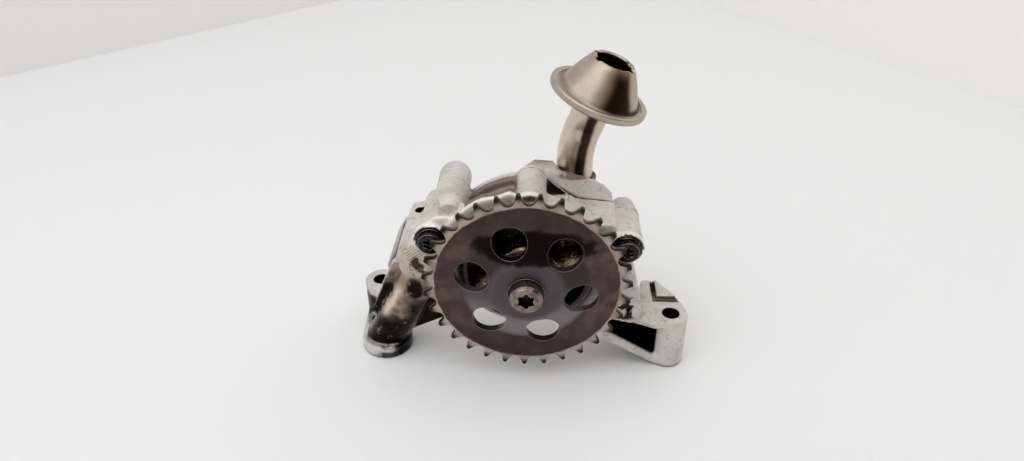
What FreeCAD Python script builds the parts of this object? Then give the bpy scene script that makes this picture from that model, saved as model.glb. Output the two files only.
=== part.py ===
import FreeCAD, Part
import math
import os

from FreeCAD import Vector

# Engine oil pump: chain driven rotor pump with a bell-mouthed pickup, standing on its mounting feet.
# Millimetres. The origin is the sprocket's centre in the plane of the chain. The drive shaft lies
# along Y, with the sprocket towards -Y. +Z points away from the engine block that the feet rest on.

# Chain wheel
TEETH = 31
CHAIN_PITCH = 8.0
ROLLER_D = 5.0
ROLLER_PLAY = 0.05
SEAT_HALF_ANGLE = 66.0
TIP_R = 41.5
TOOTH_W = 3.2
TIP_W = 2.2
BEVEL_R = 36.4
RIM_IN_R = 25.7
HUB_FLAT_R = 12.6
WEB_T = 3.0
DISH = 3.6
HOLE_COUNT = 6
HOLE_R = 6.9
HOLE_PITCH_R = 22.0
HOLE_PHASE = 42.2
TOOTH_PHASE = -5.0

# Sprocket bolt and its collar
BOLT_R = 4.0
BOLT_L = 20.0
BOLT_HEAD_R = 6.5
BOLT_HEAD_H = 4.8
COLLAR_R = 7.3
COLLAR_T = 1.1
LOBE_SOCKET_R = 3.6
LOBE_SOCKET_DEPTH = 3.2
LOBE_CORE = 0.78
LOBE_OUT = 0.76
LOBE_ROUND = 0.24
STAR_TIP = 0.98
STAR_WAIST = 0.74

# Drive shaft and its bushes
SHAFT_R = 6.5
NOSE_R = 5.2
NOSE_FLAT = 4.2
SHAFT_FLAT = 5.6
BUSH_WALL = 1.5
RUNNING_GAP = 0.03
ASSEMBLY_GAP = 0.05
REAR_BUSH_L = 9.0

# Rotor set
INNER_LOBES = 6
ECCENTRICITY = 2.6
ROLLER_CENTRE_R = 22.2
LOBE_R = 6.5
OUTER_RIM = 1.8
OUTER_ROTOR_R = ROLLER_CENTRE_R + OUTER_RIM
ROTOR_W = 14.0
ROTOR_END_GAP = 0.05
ROTOR_SIDE_GAP = 0.08
MESH_GAP = 0.08
ROTOR_STEPS = 12
VALLEY_CROWDING = 0.92

# Main casting
FACE_Y = 7.0
JOINT_Y = 28.0
FEET_Z = -50.0
CHAMBER_WALL_R = 31.0
FRONT_NOSE_R = 24.0
SHAFT_BOSS_R = 11.5
SHAFT_BOSS_Y = 2.6
NOSE_L = 6.0
FRONT_ARC_R = 38.0
FLANGE_T = 4.0
RIM_R = 34.0
WAIST_R = 31.0
WEDGE_FRONT_Y = 19.5
WEDGE_FLANGE_T = 2.6
KIDNEY_DEPTH = 3.4
KIDNEY_IN_R = 10.5
KIDNEY_OUT_R = 20.0
KIDNEY_HALF_ANGLE = 62.0

# Cover screws: x and z of each axis
LEFT_SCREW = (-38.2, 14.9)
RIGHT_SCREW = (38.85, 13.1)
TOP_SCREW = (0.7, 30.6)
SCREW_R = 3.5
SCREW_HOLE_GAP = 0.2
SCREW_FLANGE_R = 6.0
SCREW_FLANGE_T = 1.5
SCREW_HEAD_R = 4.9
SCREW_HEAD_H = 3.4
HEAD_TAPER = 0.4
SCREW_SOCKET_R = 2.9
SCREW_SOCKET_DEPTH = 2.4
SCREW_GRIP = 7.5
SCREW_BOSS_R = 6.4
SCREW_BOSS_END_R = 4.9
SCREW_SEAT_Y = 9.0
TOP_SCREW_R = 3.0
TOP_HEAD_R = 4.8
TOP_HEAD_H = 5.0
TOP_RECESS_R = 5.1
TOP_RECESS_DEPTH = 6.5
TOP_BOSS_R = 6.3
TOP_SCREW_GRIP = 3.0

# Shoulder on the left: the level shelf at its top and the upright hole in it
SHELF_Z = 18.5
SHELF_HOLE_AT = (-43.9, 23.5)
SHELF_HOLE_R = 2.1
SHELF_HOLE_DEPTH = 2.4
LEDGE_T = 2.2

# Relief valve, captive between the two castings
RELIEF_AT = (-30.9, 25.2)
RELIEF_BORE_R = 4.5
RELIEF_WALL = 2.2
RELIEF_SEAT_Y = 15.0
RELIEF_SEAT_R = 3.0
RELIEF_FEED_DEPTH = 2.8
RELIEF_NOSE_R = 4.6
RELIEF_NOSE_Y = 10.4
RELIEF_FEED_R = 1.7
PISTON_L = 12.0
PISTON_WALL = 1.3
PISTON_CROWN = 2.5
PISTON_GAP = 0.03
RELIEF_LIFT = 5.0
RELIEF_END_Y = 40.5
SPILL_R = 2.0
SPILL_AFTER_SEAT = 4.5
RELIEF_FEED_X = -33.5
DOME_START = 1.5
SPRING_WIRE_R = 0.55
SPRING_R = 2.45
SPRING_TURNS = 6

# Outlet leg on the left
BOLT_HOLE_R = 3.5
FOOT_BOSS_R = 7.25
LEFT_BOLT = (-66.7, 38.5)
LEFT_BOSS_TOP = -29.0
OUTLET_AT = (-62.0, 19.5)
OUTLET_R = 6.0
OUTLET_DEPTH = 10.0
PAD_R = 11.0
PAD_T = 6.0
PAD_END_INSET = 0.6
EAR_T = 5.0
REAR_WEB_Y = (19.0, 27.9)
DUCT_R = 8.6
GALLERY_R = 4.6
DUCT_TOP = (-42.5, 18.5, -6.0)
DUCT_FOOT = (-61.8, 20.0, -45.0)
DUCT_OVERRUN = 0.2
OUTLET_SUMP_Y = 20.0
GALLERY_TOP = (-35.0, 18.8, 0.0)

# Right leg
RIGHT_BOLT = (60.8, 15.4)
RIGHT_BOSS_TOP = -25.2
LEG_PLATE_T = 3.0
LEG_RIB_T = 3.2
LEG_RIB_FRONT_Y = 9.5
LEG_FLOOR_Y = (11.0, 27.0)
REAR_POST_Z = 12.0
SIDE_STEP_H = 0.7
LEG_BACK_Y = 24.0
LEG_BACK_T = 3.6
RAISED_PAD_H = 1.8
TWIN_RIB_T = 1.8
PEG_R = 2.4
PEG_Y = (10.6, 16.0)
PEG_DISC_R = 2.8
PEG_DISC_Y = (10.2, 10.9)

# Rear cover
COVER_T = 5.5
RIDGE_RISE_Y = 2.6
RIDGE_T = 3.9
RIDGE_ROUND = 2.5
RIDGE_ROUND_Z = 24.0
HOOD_X = (7.0, 32.0)
HOOD_LUG_X = (-5.0, 20.0)
BEARING_BOSS_R = 12.5
PAD_Z = 20.5
PICKUP_AT = (18.4, 45.0)
PICKUP_BOLT_AT = (4.9, 39.2)
HOOD_BACK_Y = 54.2
THREAD_DEPTH = 10.0
SPOT_FACE_GAP = 0.4
LUG_Z = 6.5
INLET_Z = 3.5

# Pickup tube and bell
TUBE_R = 7.6
TUBE_WALL = 1.2
TUBE_LEAN = 20.4
TUBE_BEND_R = 46.0
SPIGOT_L = 9.0
TUBE_END_BELOW = 1.5
FLANGE_PLATE_T = 3.0
EAR_R = 7.6
FLANGE_RING_R = 9.3
SEAL_SECTION_R = 0.62
SEAL_RECESS = 1.4
HEX_AF = 13.0
HEX_H = 5.4
PICKUP_BOLT_R = 4.0
PICKUP_WASHER_R = 6.8
HEX_TURN = 53.3
PICKUP_WASHER_T = 1.3
BELL_CENTRE = (26.5, 45.0, 60.3)
BELL_CONE_R = 16.2
BELL_FLANGE_W = 4.2
BELL_RIM_R = BELL_CONE_R + BELL_FLANGE_W
BELL_SHOULDER_R = 10.2
BELL_MOUTH_R = 7.2
BELL_H = 17.0
SHEET_T = 1.0
STRAINER_T = 0.7
STRAINER_Z = -0.9
STRAINER_HOLE_R = 2.4
STRAINER_RING_R = 8.6

SHAFT_AXIS = Vector(0, 1, 0)
UP = Vector(0, 0, 1)
EPS = 0.01


# Solids that most pieces are made from
def rod_y(radius, y0, y1, at=(0.0, 0.0)):
    """Round rod along Y from y0 to y1, with its axis at (x, z)."""
    return Part.makeCylinder(radius, y1 - y0, Vector(at[0], y0, at[1]), SHAFT_AXIS)


def rod_z(radius, z0, z1, at):
    """Upright round rod from z0 to z1, with its axis at (x, y)."""
    return Part.makeCylinder(radius, z1 - z0, Vector(at[0], at[1], z0), UP)


def cone_y(r0, r1, y0, y1, at=(0.0, 0.0)):
    """Tapered rod along Y, radius r0 at y0 and r1 at y1."""
    return Part.makeCone(r0, r1, y1 - y0, Vector(at[0], y0, at[1]), SHAFT_AXIS)


def rod_between(radius, start, end):
    """Round rod from one point to another."""
    span = Vector(*end) - Vector(*start)
    return Part.makeCylinder(radius, span.Length, Vector(*start), span)


def rounded_wire(corners):
    """Closed wire through corners (point, radius), each corner rounded with an arc of its radius."""
    count = len(corners)
    starts, arcs, ends = [], [], []
    for i, (point, radius) in enumerate(corners):
        before = (corners[i - 1][0] - point).normalize()
        after = (corners[(i + 1) % count][0] - point).normalize()
        half = before.getAngle(after) / 2
        if radius <= 0 or half < 0.02 or half > math.pi / 2 - 0.02:
            starts.append(point)
            ends.append(point)
            arcs.append(None)
            continue
        reach = radius / math.tan(half)
        middle = point + (before + after).normalize() * (radius / math.sin(half) - radius)
        starts.append(point + before * reach)
        ends.append(point + after * reach)
        arcs.append(middle)
    edges = []
    for i in range(count):
        if arcs[i] is not None:
            edges.append(Part.Arc(starts[i], arcs[i], ends[i]).toShape())
        following = starts[(i + 1) % count]
        if (following - ends[i]).Length > 1e-6:
            edges.append(Part.LineSegment(ends[i], following).toShape())
    return Part.Wire(edges)


def plate_y(corners, y0, y1):
    """Plate with an outline of (x, z) or (x, z, corner radius) in the plane of the chain, from y0 to y1."""
    points = [(Vector(c[0], y0, c[1]), c[2] if len(c) > 2 else 0.0) for c in corners]
    return Part.Face(rounded_wire(points)).extrude(Vector(0, y1 - y0, 0))


def plate_z(corners, z0, z1):
    """Level plate with an outline of (x, y) or (x, y, corner radius), from z0 to z1."""
    points = [(Vector(c[0], c[1], z0), c[2] if len(c) > 2 else 0.0) for c in corners]
    return Part.Face(rounded_wire(points)).extrude(Vector(0, 0, z1 - z0))


def plate_x(corners, x0, x1):
    """Plate with an outline of (y, z) or (y, z, corner radius), from x0 to x1."""
    points = [(Vector(x0, c[0], c[1]), c[2] if len(c) > 2 else 0.0) for c in corners]
    return Part.Face(rounded_wire(points)).extrude(Vector(x1 - x0, 0, 0))


def link_z(a, ra, b, rb, z0, z1):
    """Level plate round two circles, with straight sides that touch both."""
    away = Vector(b[0] - a[0], b[1] - a[1], 0)
    turn = math.acos((ra - rb) / away.Length)
    heading = math.atan2(away.y, away.x)
    points = []
    for angle in (heading + turn, heading - turn):
        points.append([Vector(c[0] + r * math.cos(angle), c[1] + r * math.sin(angle), z0)
                       for c, r in ((a, ra), (b, rb))])
    far_a = Vector(a[0] - ra * math.cos(heading), a[1] - ra * math.sin(heading), z0)
    far_b = Vector(b[0] + rb * math.cos(heading), b[1] + rb * math.sin(heading), z0)
    wire = Part.Wire([
        Part.LineSegment(points[0][0], points[0][1]).toShape(),
        Part.Arc(points[0][1], far_b, points[1][1]).toShape(),
        Part.LineSegment(points[1][1], points[1][0]).toShape(),
        Part.Arc(points[1][0], far_a, points[0][0]).toShape(),
    ])
    return Part.Face(wire).extrude(Vector(0, 0, z1 - z0))


def turned_y(profile):
    """Solid turned about the shaft axis, from a closed profile of (radius, y)."""
    points = [Vector(r, y, 0) for r, y in profile]
    face = Part.Face(Part.makePolygon(points + [points[0]]))
    return face.revolve(Vector(0, 0, 0), SHAFT_AXIS, 360)


def turned_z(profile):
    """Solid turned about Z, from a closed profile of (radius, z)."""
    points = [Vector(r, 0, z) for r, z in profile]
    face = Part.Face(Part.makePolygon(points + [points[0]]))
    return face.revolve(Vector(0, 0, 0), UP, 360)


def joined(pieces):
    """One solid from several that overlap."""
    return pieces[0].multiFuse(pieces[1:]).removeSplitter()


def hex_prism(across_flats, z0, z1, at):
    """Upright hexagon with the given width across its flats."""
    corner = across_flats / math.sqrt(3)
    points = []
    for k in range(6):
        angle = math.radians(HEX_TURN + 60 * k)
        points.append(Vector(at[0] + corner * math.cos(angle), at[1] + corner * math.sin(angle), z0))
    return Part.Face(Part.makePolygon(points + [points[0]])).extrude(Vector(0, 0, z1 - z0))


def clock(radius, degrees, y=0.0):
    """Point on a circle about the shaft, at an angle clockwise from the top as seen from the sprocket."""
    angle = math.radians(degrees)
    return Vector(radius * math.sin(angle), y, radius * math.cos(angle))


# Places that several pieces share
PITCH_R = CHAIN_PITCH / 2 / math.sin(math.pi / TEETH)
HUB_FRONT_Y = -TOOTH_W / 2 - DISH
HUB_BACK_Y = 0.0
HEAD_FRONT_Y = HUB_FRONT_Y - COLLAR_T - BOLT_HEAD_H
POCKET_Y = JOINT_Y - ROTOR_W - 2 * ROTOR_END_GAP
SHAFT_BORE_R = SHAFT_R + RUNNING_GAP
BUSH_R = SHAFT_BORE_R + BUSH_WALL
REAR_BUSH_END_Y = JOINT_Y + REAR_BUSH_L
SHAFT_END_Y = REAR_BUSH_END_Y - 0.5
OUTER_LOBES = INNER_LOBES + 1
ROTOR_AT = (0.0, -ECCENTRICITY)
SCREW_END_Y = JOINT_Y + SCREW_GRIP
TUBE_AXIS = Vector(math.sin(math.radians(TUBE_LEAN)), 0, math.cos(math.radians(TUBE_LEAN)))


def lobed_socket(radius, y0, y1, at=(0.0, 0.0)):
    """Six-lobed driver socket: a core with six round lobes."""
    core = rod_y(radius * LOBE_CORE, y0, y1, at)
    lobes = []
    for k in range(6):
        spot = clock(radius * LOBE_OUT, 60 * k)
        lobes.append(rod_y(radius * LOBE_ROUND, y0, y1, (at[0] + spot.x, at[1] + spot.z)))
    return core.multiFuse(lobes)


def star_socket(radius, y0, y1, at):
    """Six-pointed driver socket with straight sides, for the smaller screws."""
    points = []
    for k in range(12):
        spot = clock(radius * (STAR_WAIST if k % 2 else STAR_TIP), 30 * k)
        points.append((at[0] + spot.x, at[1] + spot.z))
    return plate_y(points, y0, y1)


# Chain wheel
def tooth_gap():
    """Space between two teeth: a round roller seat that opens outwards along its tangents."""
    seat = ROLLER_D / 2 + ROLLER_PLAY
    half = math.radians(SEAT_HALF_ANGLE)
    side = Vector(seat * math.sin(half), 0, PITCH_R - seat * math.cos(half))
    rise = TIP_R + 1.0 - side.z
    outer = side + Vector(rise / math.tan(half), 0, rise)
    other_side, other_outer = Vector(-side.x, 0, side.z), Vector(-outer.x, 0, outer.z)
    wire = Part.Wire([
        Part.Arc(other_side, Vector(0, 0, PITCH_R - seat), side).toShape(),
        Part.LineSegment(side, outer).toShape(),
        Part.LineSegment(outer, other_outer).toShape(),
        Part.LineSegment(other_outer, other_side).toShape(),
    ])
    gap = Part.Face(wire).extrude(Vector(0, 2 * TOOTH_W, 0))
    gap.translate(Vector(0, -TOOTH_W, 0))
    return gap


def make_sprocket():
    half, tip_half = TOOTH_W / 2, TIP_W / 2
    blank = turned_y([
        (0, HUB_FRONT_Y), (HUB_FLAT_R, HUB_FRONT_Y), (RIM_IN_R, -half), (BEVEL_R, -half), (TIP_R, -tip_half),
        (TIP_R, tip_half), (BEVEL_R, half), (RIM_IN_R, half), (HUB_FLAT_R, HUB_FRONT_Y + WEB_T),
        (SHAFT_R + 2.0, HUB_FRONT_Y + WEB_T), (SHAFT_R + 2.0, HUB_BACK_Y), (0, HUB_BACK_Y),
    ])
    cuts = []
    gap = tooth_gap()
    for k in range(TEETH):
        one = gap.copy()
        one.rotate(Vector(0, 0, 0), SHAFT_AXIS, TOOTH_PHASE + (k + 0.5) * 360.0 / TEETH)
        cuts.append(one)
    for k in range(HOLE_COUNT):
        spot = clock(HOLE_PITCH_R, HOLE_PHASE + k * 360.0 / HOLE_COUNT)
        cuts.append(rod_y(HOLE_R, HUB_FRONT_Y - 1, TOOTH_W, (spot.x, spot.z)))
    cuts.append(nose_section(NOSE_R + ASSEMBLY_GAP, NOSE_FLAT + ASSEMBLY_GAP, HUB_FRONT_Y - 1, HUB_BACK_Y + 1))
    return blank.cut(cuts)


def nose_section(radius, flat, y0, y1):
    """Round bar with one flat, as the shaft's nose has."""
    bar = rod_y(radius, y0, y1)
    block = Part.makeBox(4 * radius, y1 - y0 + 2, 2 * radius, Vector(-2 * radius, y0 - 1, flat))
    return bar.cut(block)


def make_sprocket_bolt():
    head = turned_y([
        (0, HEAD_FRONT_Y), (BOLT_HEAD_R - 1.1, HEAD_FRONT_Y), (BOLT_HEAD_R, HEAD_FRONT_Y + 1.1),
        (BOLT_HEAD_R, HEAD_FRONT_Y + BOLT_HEAD_H), (0, HEAD_FRONT_Y + BOLT_HEAD_H),
    ])
    under_head = HEAD_FRONT_Y + BOLT_HEAD_H
    shank = rod_y(BOLT_R - ASSEMBLY_GAP, under_head - EPS, under_head + BOLT_L)
    socket = lobed_socket(LOBE_SOCKET_R, HEAD_FRONT_Y - 1, HEAD_FRONT_Y + LOBE_SOCKET_DEPTH)
    return head.fuse(shank).removeSplitter().cut(socket)


def make_sprocket_collar():
    ring = rod_y(COLLAR_R, HUB_FRONT_Y - COLLAR_T, HUB_FRONT_Y)
    return ring.cut(rod_y(BOLT_R + ASSEMBLY_GAP, HUB_FRONT_Y - COLLAR_T - 1, HUB_FRONT_Y + 1))


# Shaft and rotors
def shaft_with_flats(radius, flat, y0, y1):
    """Round bar with two flats, the drive for the inner rotor."""
    bar = rod_y(radius, y0, y1)
    for side in (flat, -flat - 2 * radius):
        bar = bar.cut(Part.makeBox(2 * radius, y1 - y0 + 2, 4 * radius, Vector(side, y0 - 1, -2 * radius)))
    return bar


def make_drive_shaft():
    nose = nose_section(NOSE_R, NOSE_FLAT, HUB_FRONT_Y + 0.4, HUB_BACK_Y + EPS)
    front = rod_y(SHAFT_R, HUB_BACK_Y, POCKET_Y)
    drive = shaft_with_flats(SHAFT_R, SHAFT_FLAT, POCKET_Y - EPS, JOINT_Y)
    rear = rod_y(SHAFT_R, JOINT_Y - EPS, SHAFT_END_Y)
    thread_end = HEAD_FRONT_Y + BOLT_HEAD_H + BOLT_L + 1.5
    thread = rod_y(BOLT_R, HUB_FRONT_Y - 1, thread_end)
    return joined([nose, front, drive, rear]).cut(thread)


def inner_rotor_point(angle, gap):
    """Point of the inner rotor: the path of a lobe centre of the outer rotor, moved in by the lobe radius."""
    n = OUTER_LOBES
    cx = ROLLER_CENTRE_R * math.cos(angle) + ECCENTRICITY * math.cos(n * angle)
    cz = ROLLER_CENTRE_R * math.sin(angle) + ECCENTRICITY * math.sin(n * angle)
    dx = -ROLLER_CENTRE_R * math.sin(angle) - n * ECCENTRICITY * math.sin(n * angle)
    dz = ROLLER_CENTRE_R * math.cos(angle) + n * ECCENTRICITY * math.cos(n * angle)
    size = math.hypot(dx, dz)
    inset = LOBE_R + gap
    return cx - inset * dz / size, cz + inset * dx / size


def make_inner_rotor():
    steps = INNER_LOBES * ROTOR_STEPS
    y0 = POCKET_Y + ROTOR_END_GAP
    points = []
    for k in range(steps):
        even = 2 * math.pi * k / steps
        angle = even + VALLEY_CROWDING * math.sin(INNER_LOBES * even) / INNER_LOBES
        along, across = inner_rotor_point(angle, MESH_GAP)
        points.append(Vector(-across, y0, -along))
    arcs = [Part.Arc(points[k], points[k + 1], points[(k + 2) % steps]).toShape() for k in range(0, steps, 2)]
    body = Part.Face(Part.Wire(arcs)).extrude(Vector(0, ROTOR_W, 0))
    bore = shaft_with_flats(SHAFT_R + ASSEMBLY_GAP, SHAFT_FLAT + ASSEMBLY_GAP, y0 - 1, y0 + ROTOR_W + 1)
    return body.cut(bore)


def make_outer_rotor():
    y0 = POCKET_Y + ROTOR_END_GAP
    y1 = y0 + ROTOR_W
    root_r = ROLLER_CENTRE_R + 2 * ECCENTRICITY - LOBE_R + 0.5 * MESH_GAP
    hollow = rod_y(root_r, y0 - 1, y1 + 1, ROTOR_AT)
    lobes = []
    for k in range(OUTER_LOBES):
        spot = clock(ROLLER_CENTRE_R, 180 + 360.0 * k / OUTER_LOBES)
        lobes.append(rod_y(LOBE_R, y0 - 2, y1 + 2, (ROTOR_AT[0] + spot.x, ROTOR_AT[1] + spot.z)))
    return rod_y(OUTER_ROTOR_R, y0, y1, ROTOR_AT).cut(hollow.cut(lobes))


def kidney(side, y0, y1):
    """Port shaped like a kidney on one side of the rotors, side +1 to the right and -1 to the left."""
    ring = rod_y(KIDNEY_OUT_R, y0, y1).cut(rod_y(KIDNEY_IN_R, y0 - 1, y1 + 1))
    reach = 2 * KIDNEY_OUT_R
    edge = [clock(reach, side * (90 + turn)) for turn in (-KIDNEY_HALF_ANGLE, -30, 0, 30, KIDNEY_HALF_ANGLE)]
    wedge = plate_y([(0, 0)] + [(p.x, p.z) for p in edge], y0 - 1, y1 + 1)
    return ring.common(wedge)


def make_front_bush():
    y0 = SHAFT_BOSS_Y
    return rod_y(BUSH_R, y0, POCKET_Y).cut(rod_y(SHAFT_BORE_R, y0 - 1, POCKET_Y + 1))


def make_rear_bush():
    return rod_y(BUSH_R, JOINT_Y, REAR_BUSH_END_Y).cut(rod_y(SHAFT_BORE_R, JOINT_Y - 1, REAR_BUSH_END_Y + 1))


# Outlines of the castings: (x, z) or (x, z, corner radius), as seen from the sprocket
RELIEF_R = RELIEF_BORE_R + RELIEF_WALL
SHOULDER = [(-24, 26), (-30.9, 28, 3), (-38.3, 23.5, 2), (-42.2, SHELF_Z, 1.5), (-47.6, SHELF_Z, 2.5), (-52.4, 6, 8),
            (-57.0, -9, 4), (-52, -22, 6), (-36, -22, 3), (-22, -8)]
SHOULDER_FRONT = SHOULDER[:5] + [(-52.4, 6, 8), (-52.2, -3, 5), (-46, -12.5, 4), (-36, -20, 3), (-22, -8)]
LEDGE = [(-40, 10), (-51.5, 10.8, 1), (-54.8, 4.6, 5), (-61.4, -14.8, 3), (-54, -22, 4), (-36, -20)]
RIGHT_BLOCK = [(0, 33), (5.2, 34.4, 2), (17.6, 23.2, 3), (34, 21.9, 3), (42, 8, 3), (42.5, -2, 3), (36, -16, 4),
               (20, -24), (0, 0)]
RIM_SIDE = [(-60, -10), (-60, 60), (3, 60), (3, -10)]
FRONT_ARC = [(0, 5), (-33, 14), (-34, 30.5, 3), (-12, 34.6, 6), (-7.2, 36.8), (-3.6, 35.4), (0.7, 30), (10, 26)]
LIP = [(-25, 20), (-28, 24.2, 2), (-36.2, 24.2, 3), (-43.5, 19.3, 3), (-50.2, 5, 5), (-47, -4, 6),
       (-38, -13, 3), (-28, -17), (-20, 0)]
WEDGE_POCKET = [(6.9, 36), (6.9, 26.8), (16.0, 24.4), (17.6, 40)]
WEDGE_CORNER = [(5.4, 34.4), (17.6, 23.5), (34, 22.2), (34, 44), (5.4, 44)]
OUTLET_PORT = [(3 - KIDNEY_OUT_R, 6), (-36, 5, 2), (-38, -4, 2), (3 - KIDNEY_OUT_R, -9)]
OUTLET_SUMP = [(-31, 4, 2), (-38, 4, 2), (-39, -4, 2), (-31, -4, 2)]
REAR_STEP_LEFT = [(-30, 20, 3), (-40, 16, 4), (-54, -9, 4), (-50, -20, 4), (-30, -20), (0, 0)]
REAR_STEP_RIGHT = [(0, 28), (16, 21, 2), (33, 17.5, 3), (40, 8, 3), (40, -2, 3), (20, -22), (0, 0)]

# Left leg: the web behind the duct (x, z), and the ear and spine beside the bolt boss (x, y)
REAR_WEB = [(-42, -4), (-58, -9, 3), (-67, -30, 3), (-63.5, -47), (-52, -42, 4), (-36, -34, 4), (-26, -24),
            (-24, -8)]
EAR = [(-54, 20), (-71.5, 33, 3), (-73.5, 38.5), (-66, 45.4), (-52, 28)]
SPINE_FROM = (-58.0, 26.0)
SPINE_R = 4.0

# Right leg: level plates (x, y), then upright ones (x, z)
LEG_PLATE = [(30, 14), (42.3, 12.4, 2), (53.5, 7.6, 6), (60.8, 8.15), (68.05, 15.4, 4), (66.5, 22, 3),
             (56, 37.4, 1.5), (50, 37.2, 1.5), (48, 28), (30, 28)]
RAISED_PAD = [(55.2, 24.3), (64.2, 24.3), (55.9, 36.6)]
SIDE_STEP = [(48.8, 24.5), (53.4, 24.5), (53.4, 36.5), (50.6, 36.5)]
L_GROOVE = [(53.8, 36.4), (53.8, 22.9), (64.9, 22.9), (64.6, 24.2), (55.1, 24.2), (55.6, 36.4)]
L_GROOVE_DEPTH = 1.5
REAR_POST = [(52, 20), (60, 20), (56.5, 36), (53, 36)]
TWIN_RIB = [(34, 6), (41.0, 8, 1), (49.5, RIGHT_BOSS_TOP - 1), (34, RIGHT_BOSS_TOP - 1)]
TWIN_RIB_Y = (11.5, 17.0)
LEG_RIB = [(31.5, -30), (33, -36.2, 2), (56, FEET_Z), (60.8, FEET_Z), (58, FEET_Z + LEG_RIB_T), (33, -31.5)]
LEG_WALL = [(22, -16), (36, -20), (60.8, RIGHT_BOSS_TOP - 1), (60.8, FEET_Z + 1), (54, FEET_Z + 1),
            (26, -30)]
LEG_FLOOR = [(20, -15), (31, -19, 2), (44, RIGHT_BOSS_TOP), (44, RIGHT_BOSS_TOP - LEG_PLATE_T), (29, -24.5),
             (20, -24)]
PEG_AT = (44.3, RIGHT_BOSS_TOP + 1.9)

# Rear cover: the ridge's foot and crest (x, z), the hood and its lug (y, z), and the hood from above (x, y)
RIDGE_FOOT = [(0, 33.0), (5.2, 34.2), (10.5, 29.4), (14.2, 26.2), (17.6, 23.2), (24, 22.7), (29.5, 22.3), (34, 21.9),
              (33, 8), (0, 8)]
RIDGE_CREST = [(0, 34.6), (5.6, 35.0), (11.0, 34.0), (16.5, 32.6), (21.5, 31.2), (26.2, 29.6), (30.2, 27.4),
               (33.6, 23.6), (33, 8), (0, 8)]
HOOD = [(JOINT_Y, PAD_Z), (HOOD_BACK_Y, PAD_Z), (HOOD_BACK_Y, 1, 8), (JOINT_Y + COVER_T + 3, -17, 4),
        (JOINT_Y, -17)]
HOOD_LUG = [(JOINT_Y, PAD_Z), (HOOD_BACK_Y, PAD_Z), (HOOD_BACK_Y, LUG_Z), (JOINT_Y, LUG_Z)]
HOOD_FROM_ABOVE = [(1.5, JOINT_Y - 1), (33.4, JOINT_Y - 1), (33.4, 29.5, 4), (28.3, 41, 8), (26.5, 56, 8),
                   (12, 56, 8), (-4.6, 46, 7), (-4.2, 32, 5)]
INLET_TOP = PAD_Z - SPIGOT_L - 1
INLET = [(13.5, INLET_Z, 1), (13.5, INLET_TOP, 2), (19.5, INLET_TOP), (21, INLET_Z)]


def joint_outline(y0, y1):
    """Flange of the joint between the two castings: a round rim, a shoulder and a block, and screw bosses."""
    rim = rod_y(RIM_R, y0, y1).common(plate_y(RIM_SIDE, y0 - 1, y1 + 1))
    return joined([
        rod_y(CHAMBER_WALL_R, y0, y1), rim, plate_y(SHOULDER, y0, y1), plate_y(RIGHT_BLOCK, y0, y1),
        rod_y(SCREW_BOSS_R, y0, y1, LEFT_SCREW), rod_y(SCREW_BOSS_R, y0, y1, RIGHT_SCREW),
        rod_y(TOP_BOSS_R, y0, y1, TOP_SCREW), rod_y(RELIEF_R, y0, y1, RELIEF_AT),
    ])


def screw_cuts():
    """Clearance holes for the cover screws, the top one with a recess for its head."""
    gap = SCREW_HOLE_GAP
    return [
        rod_y(SCREW_R + gap, FACE_Y - 2, JOINT_Y + 1, LEFT_SCREW),
        rod_y(SCREW_R + gap, FACE_Y - 2, JOINT_Y + 1, RIGHT_SCREW),
        rod_y(SCREW_FLANGE_R + gap, 0, SCREW_SEAT_Y, LEFT_SCREW),
        rod_y(SCREW_FLANGE_R + gap, 0, SCREW_SEAT_Y, RIGHT_SCREW),
        rod_y(TOP_SCREW_R + gap, FACE_Y - 1, JOINT_Y + 1, TOP_SCREW),
        rod_y(TOP_RECESS_R, 0, FACE_Y + TOP_RECESS_DEPTH, TOP_SCREW),
    ]


def outlet_leg():
    """Left leg: bolt boss, outlet pad, and the round duct that slopes down to it."""
    boss = rod_z(FOOT_BOSS_R, FEET_Z, LEFT_BOSS_TOP, LEFT_BOLT)
    pad = link_z(OUTLET_AT, PAD_R, LEFT_BOLT, FOOT_BOSS_R - PAD_END_INSET, FEET_Z, FEET_Z + PAD_T)
    top, foot = Vector(*DUCT_TOP), Vector(*DUCT_FOOT)
    duct = rod_between(DUCT_R, foot + (foot - top) * DUCT_OVERRUN, top)
    duct = duct.cut(Part.makeBox(60, 60, 20, Vector(-90, -10, FEET_Z + 1 - 20)))
    rear_web = plate_y(REAR_WEB, *REAR_WEB_Y)
    ear = plate_z(EAR, LEFT_BOSS_TOP - EAR_T, LEFT_BOSS_TOP)
    spine = link_z(SPINE_FROM, SPINE_R, LEFT_BOLT, SPINE_R, FEET_Z + 1, LEFT_BOSS_TOP - 1)
    return [boss, pad, duct, rear_web, ear, spine, Part.makeSphere(DUCT_R, top)]


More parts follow.
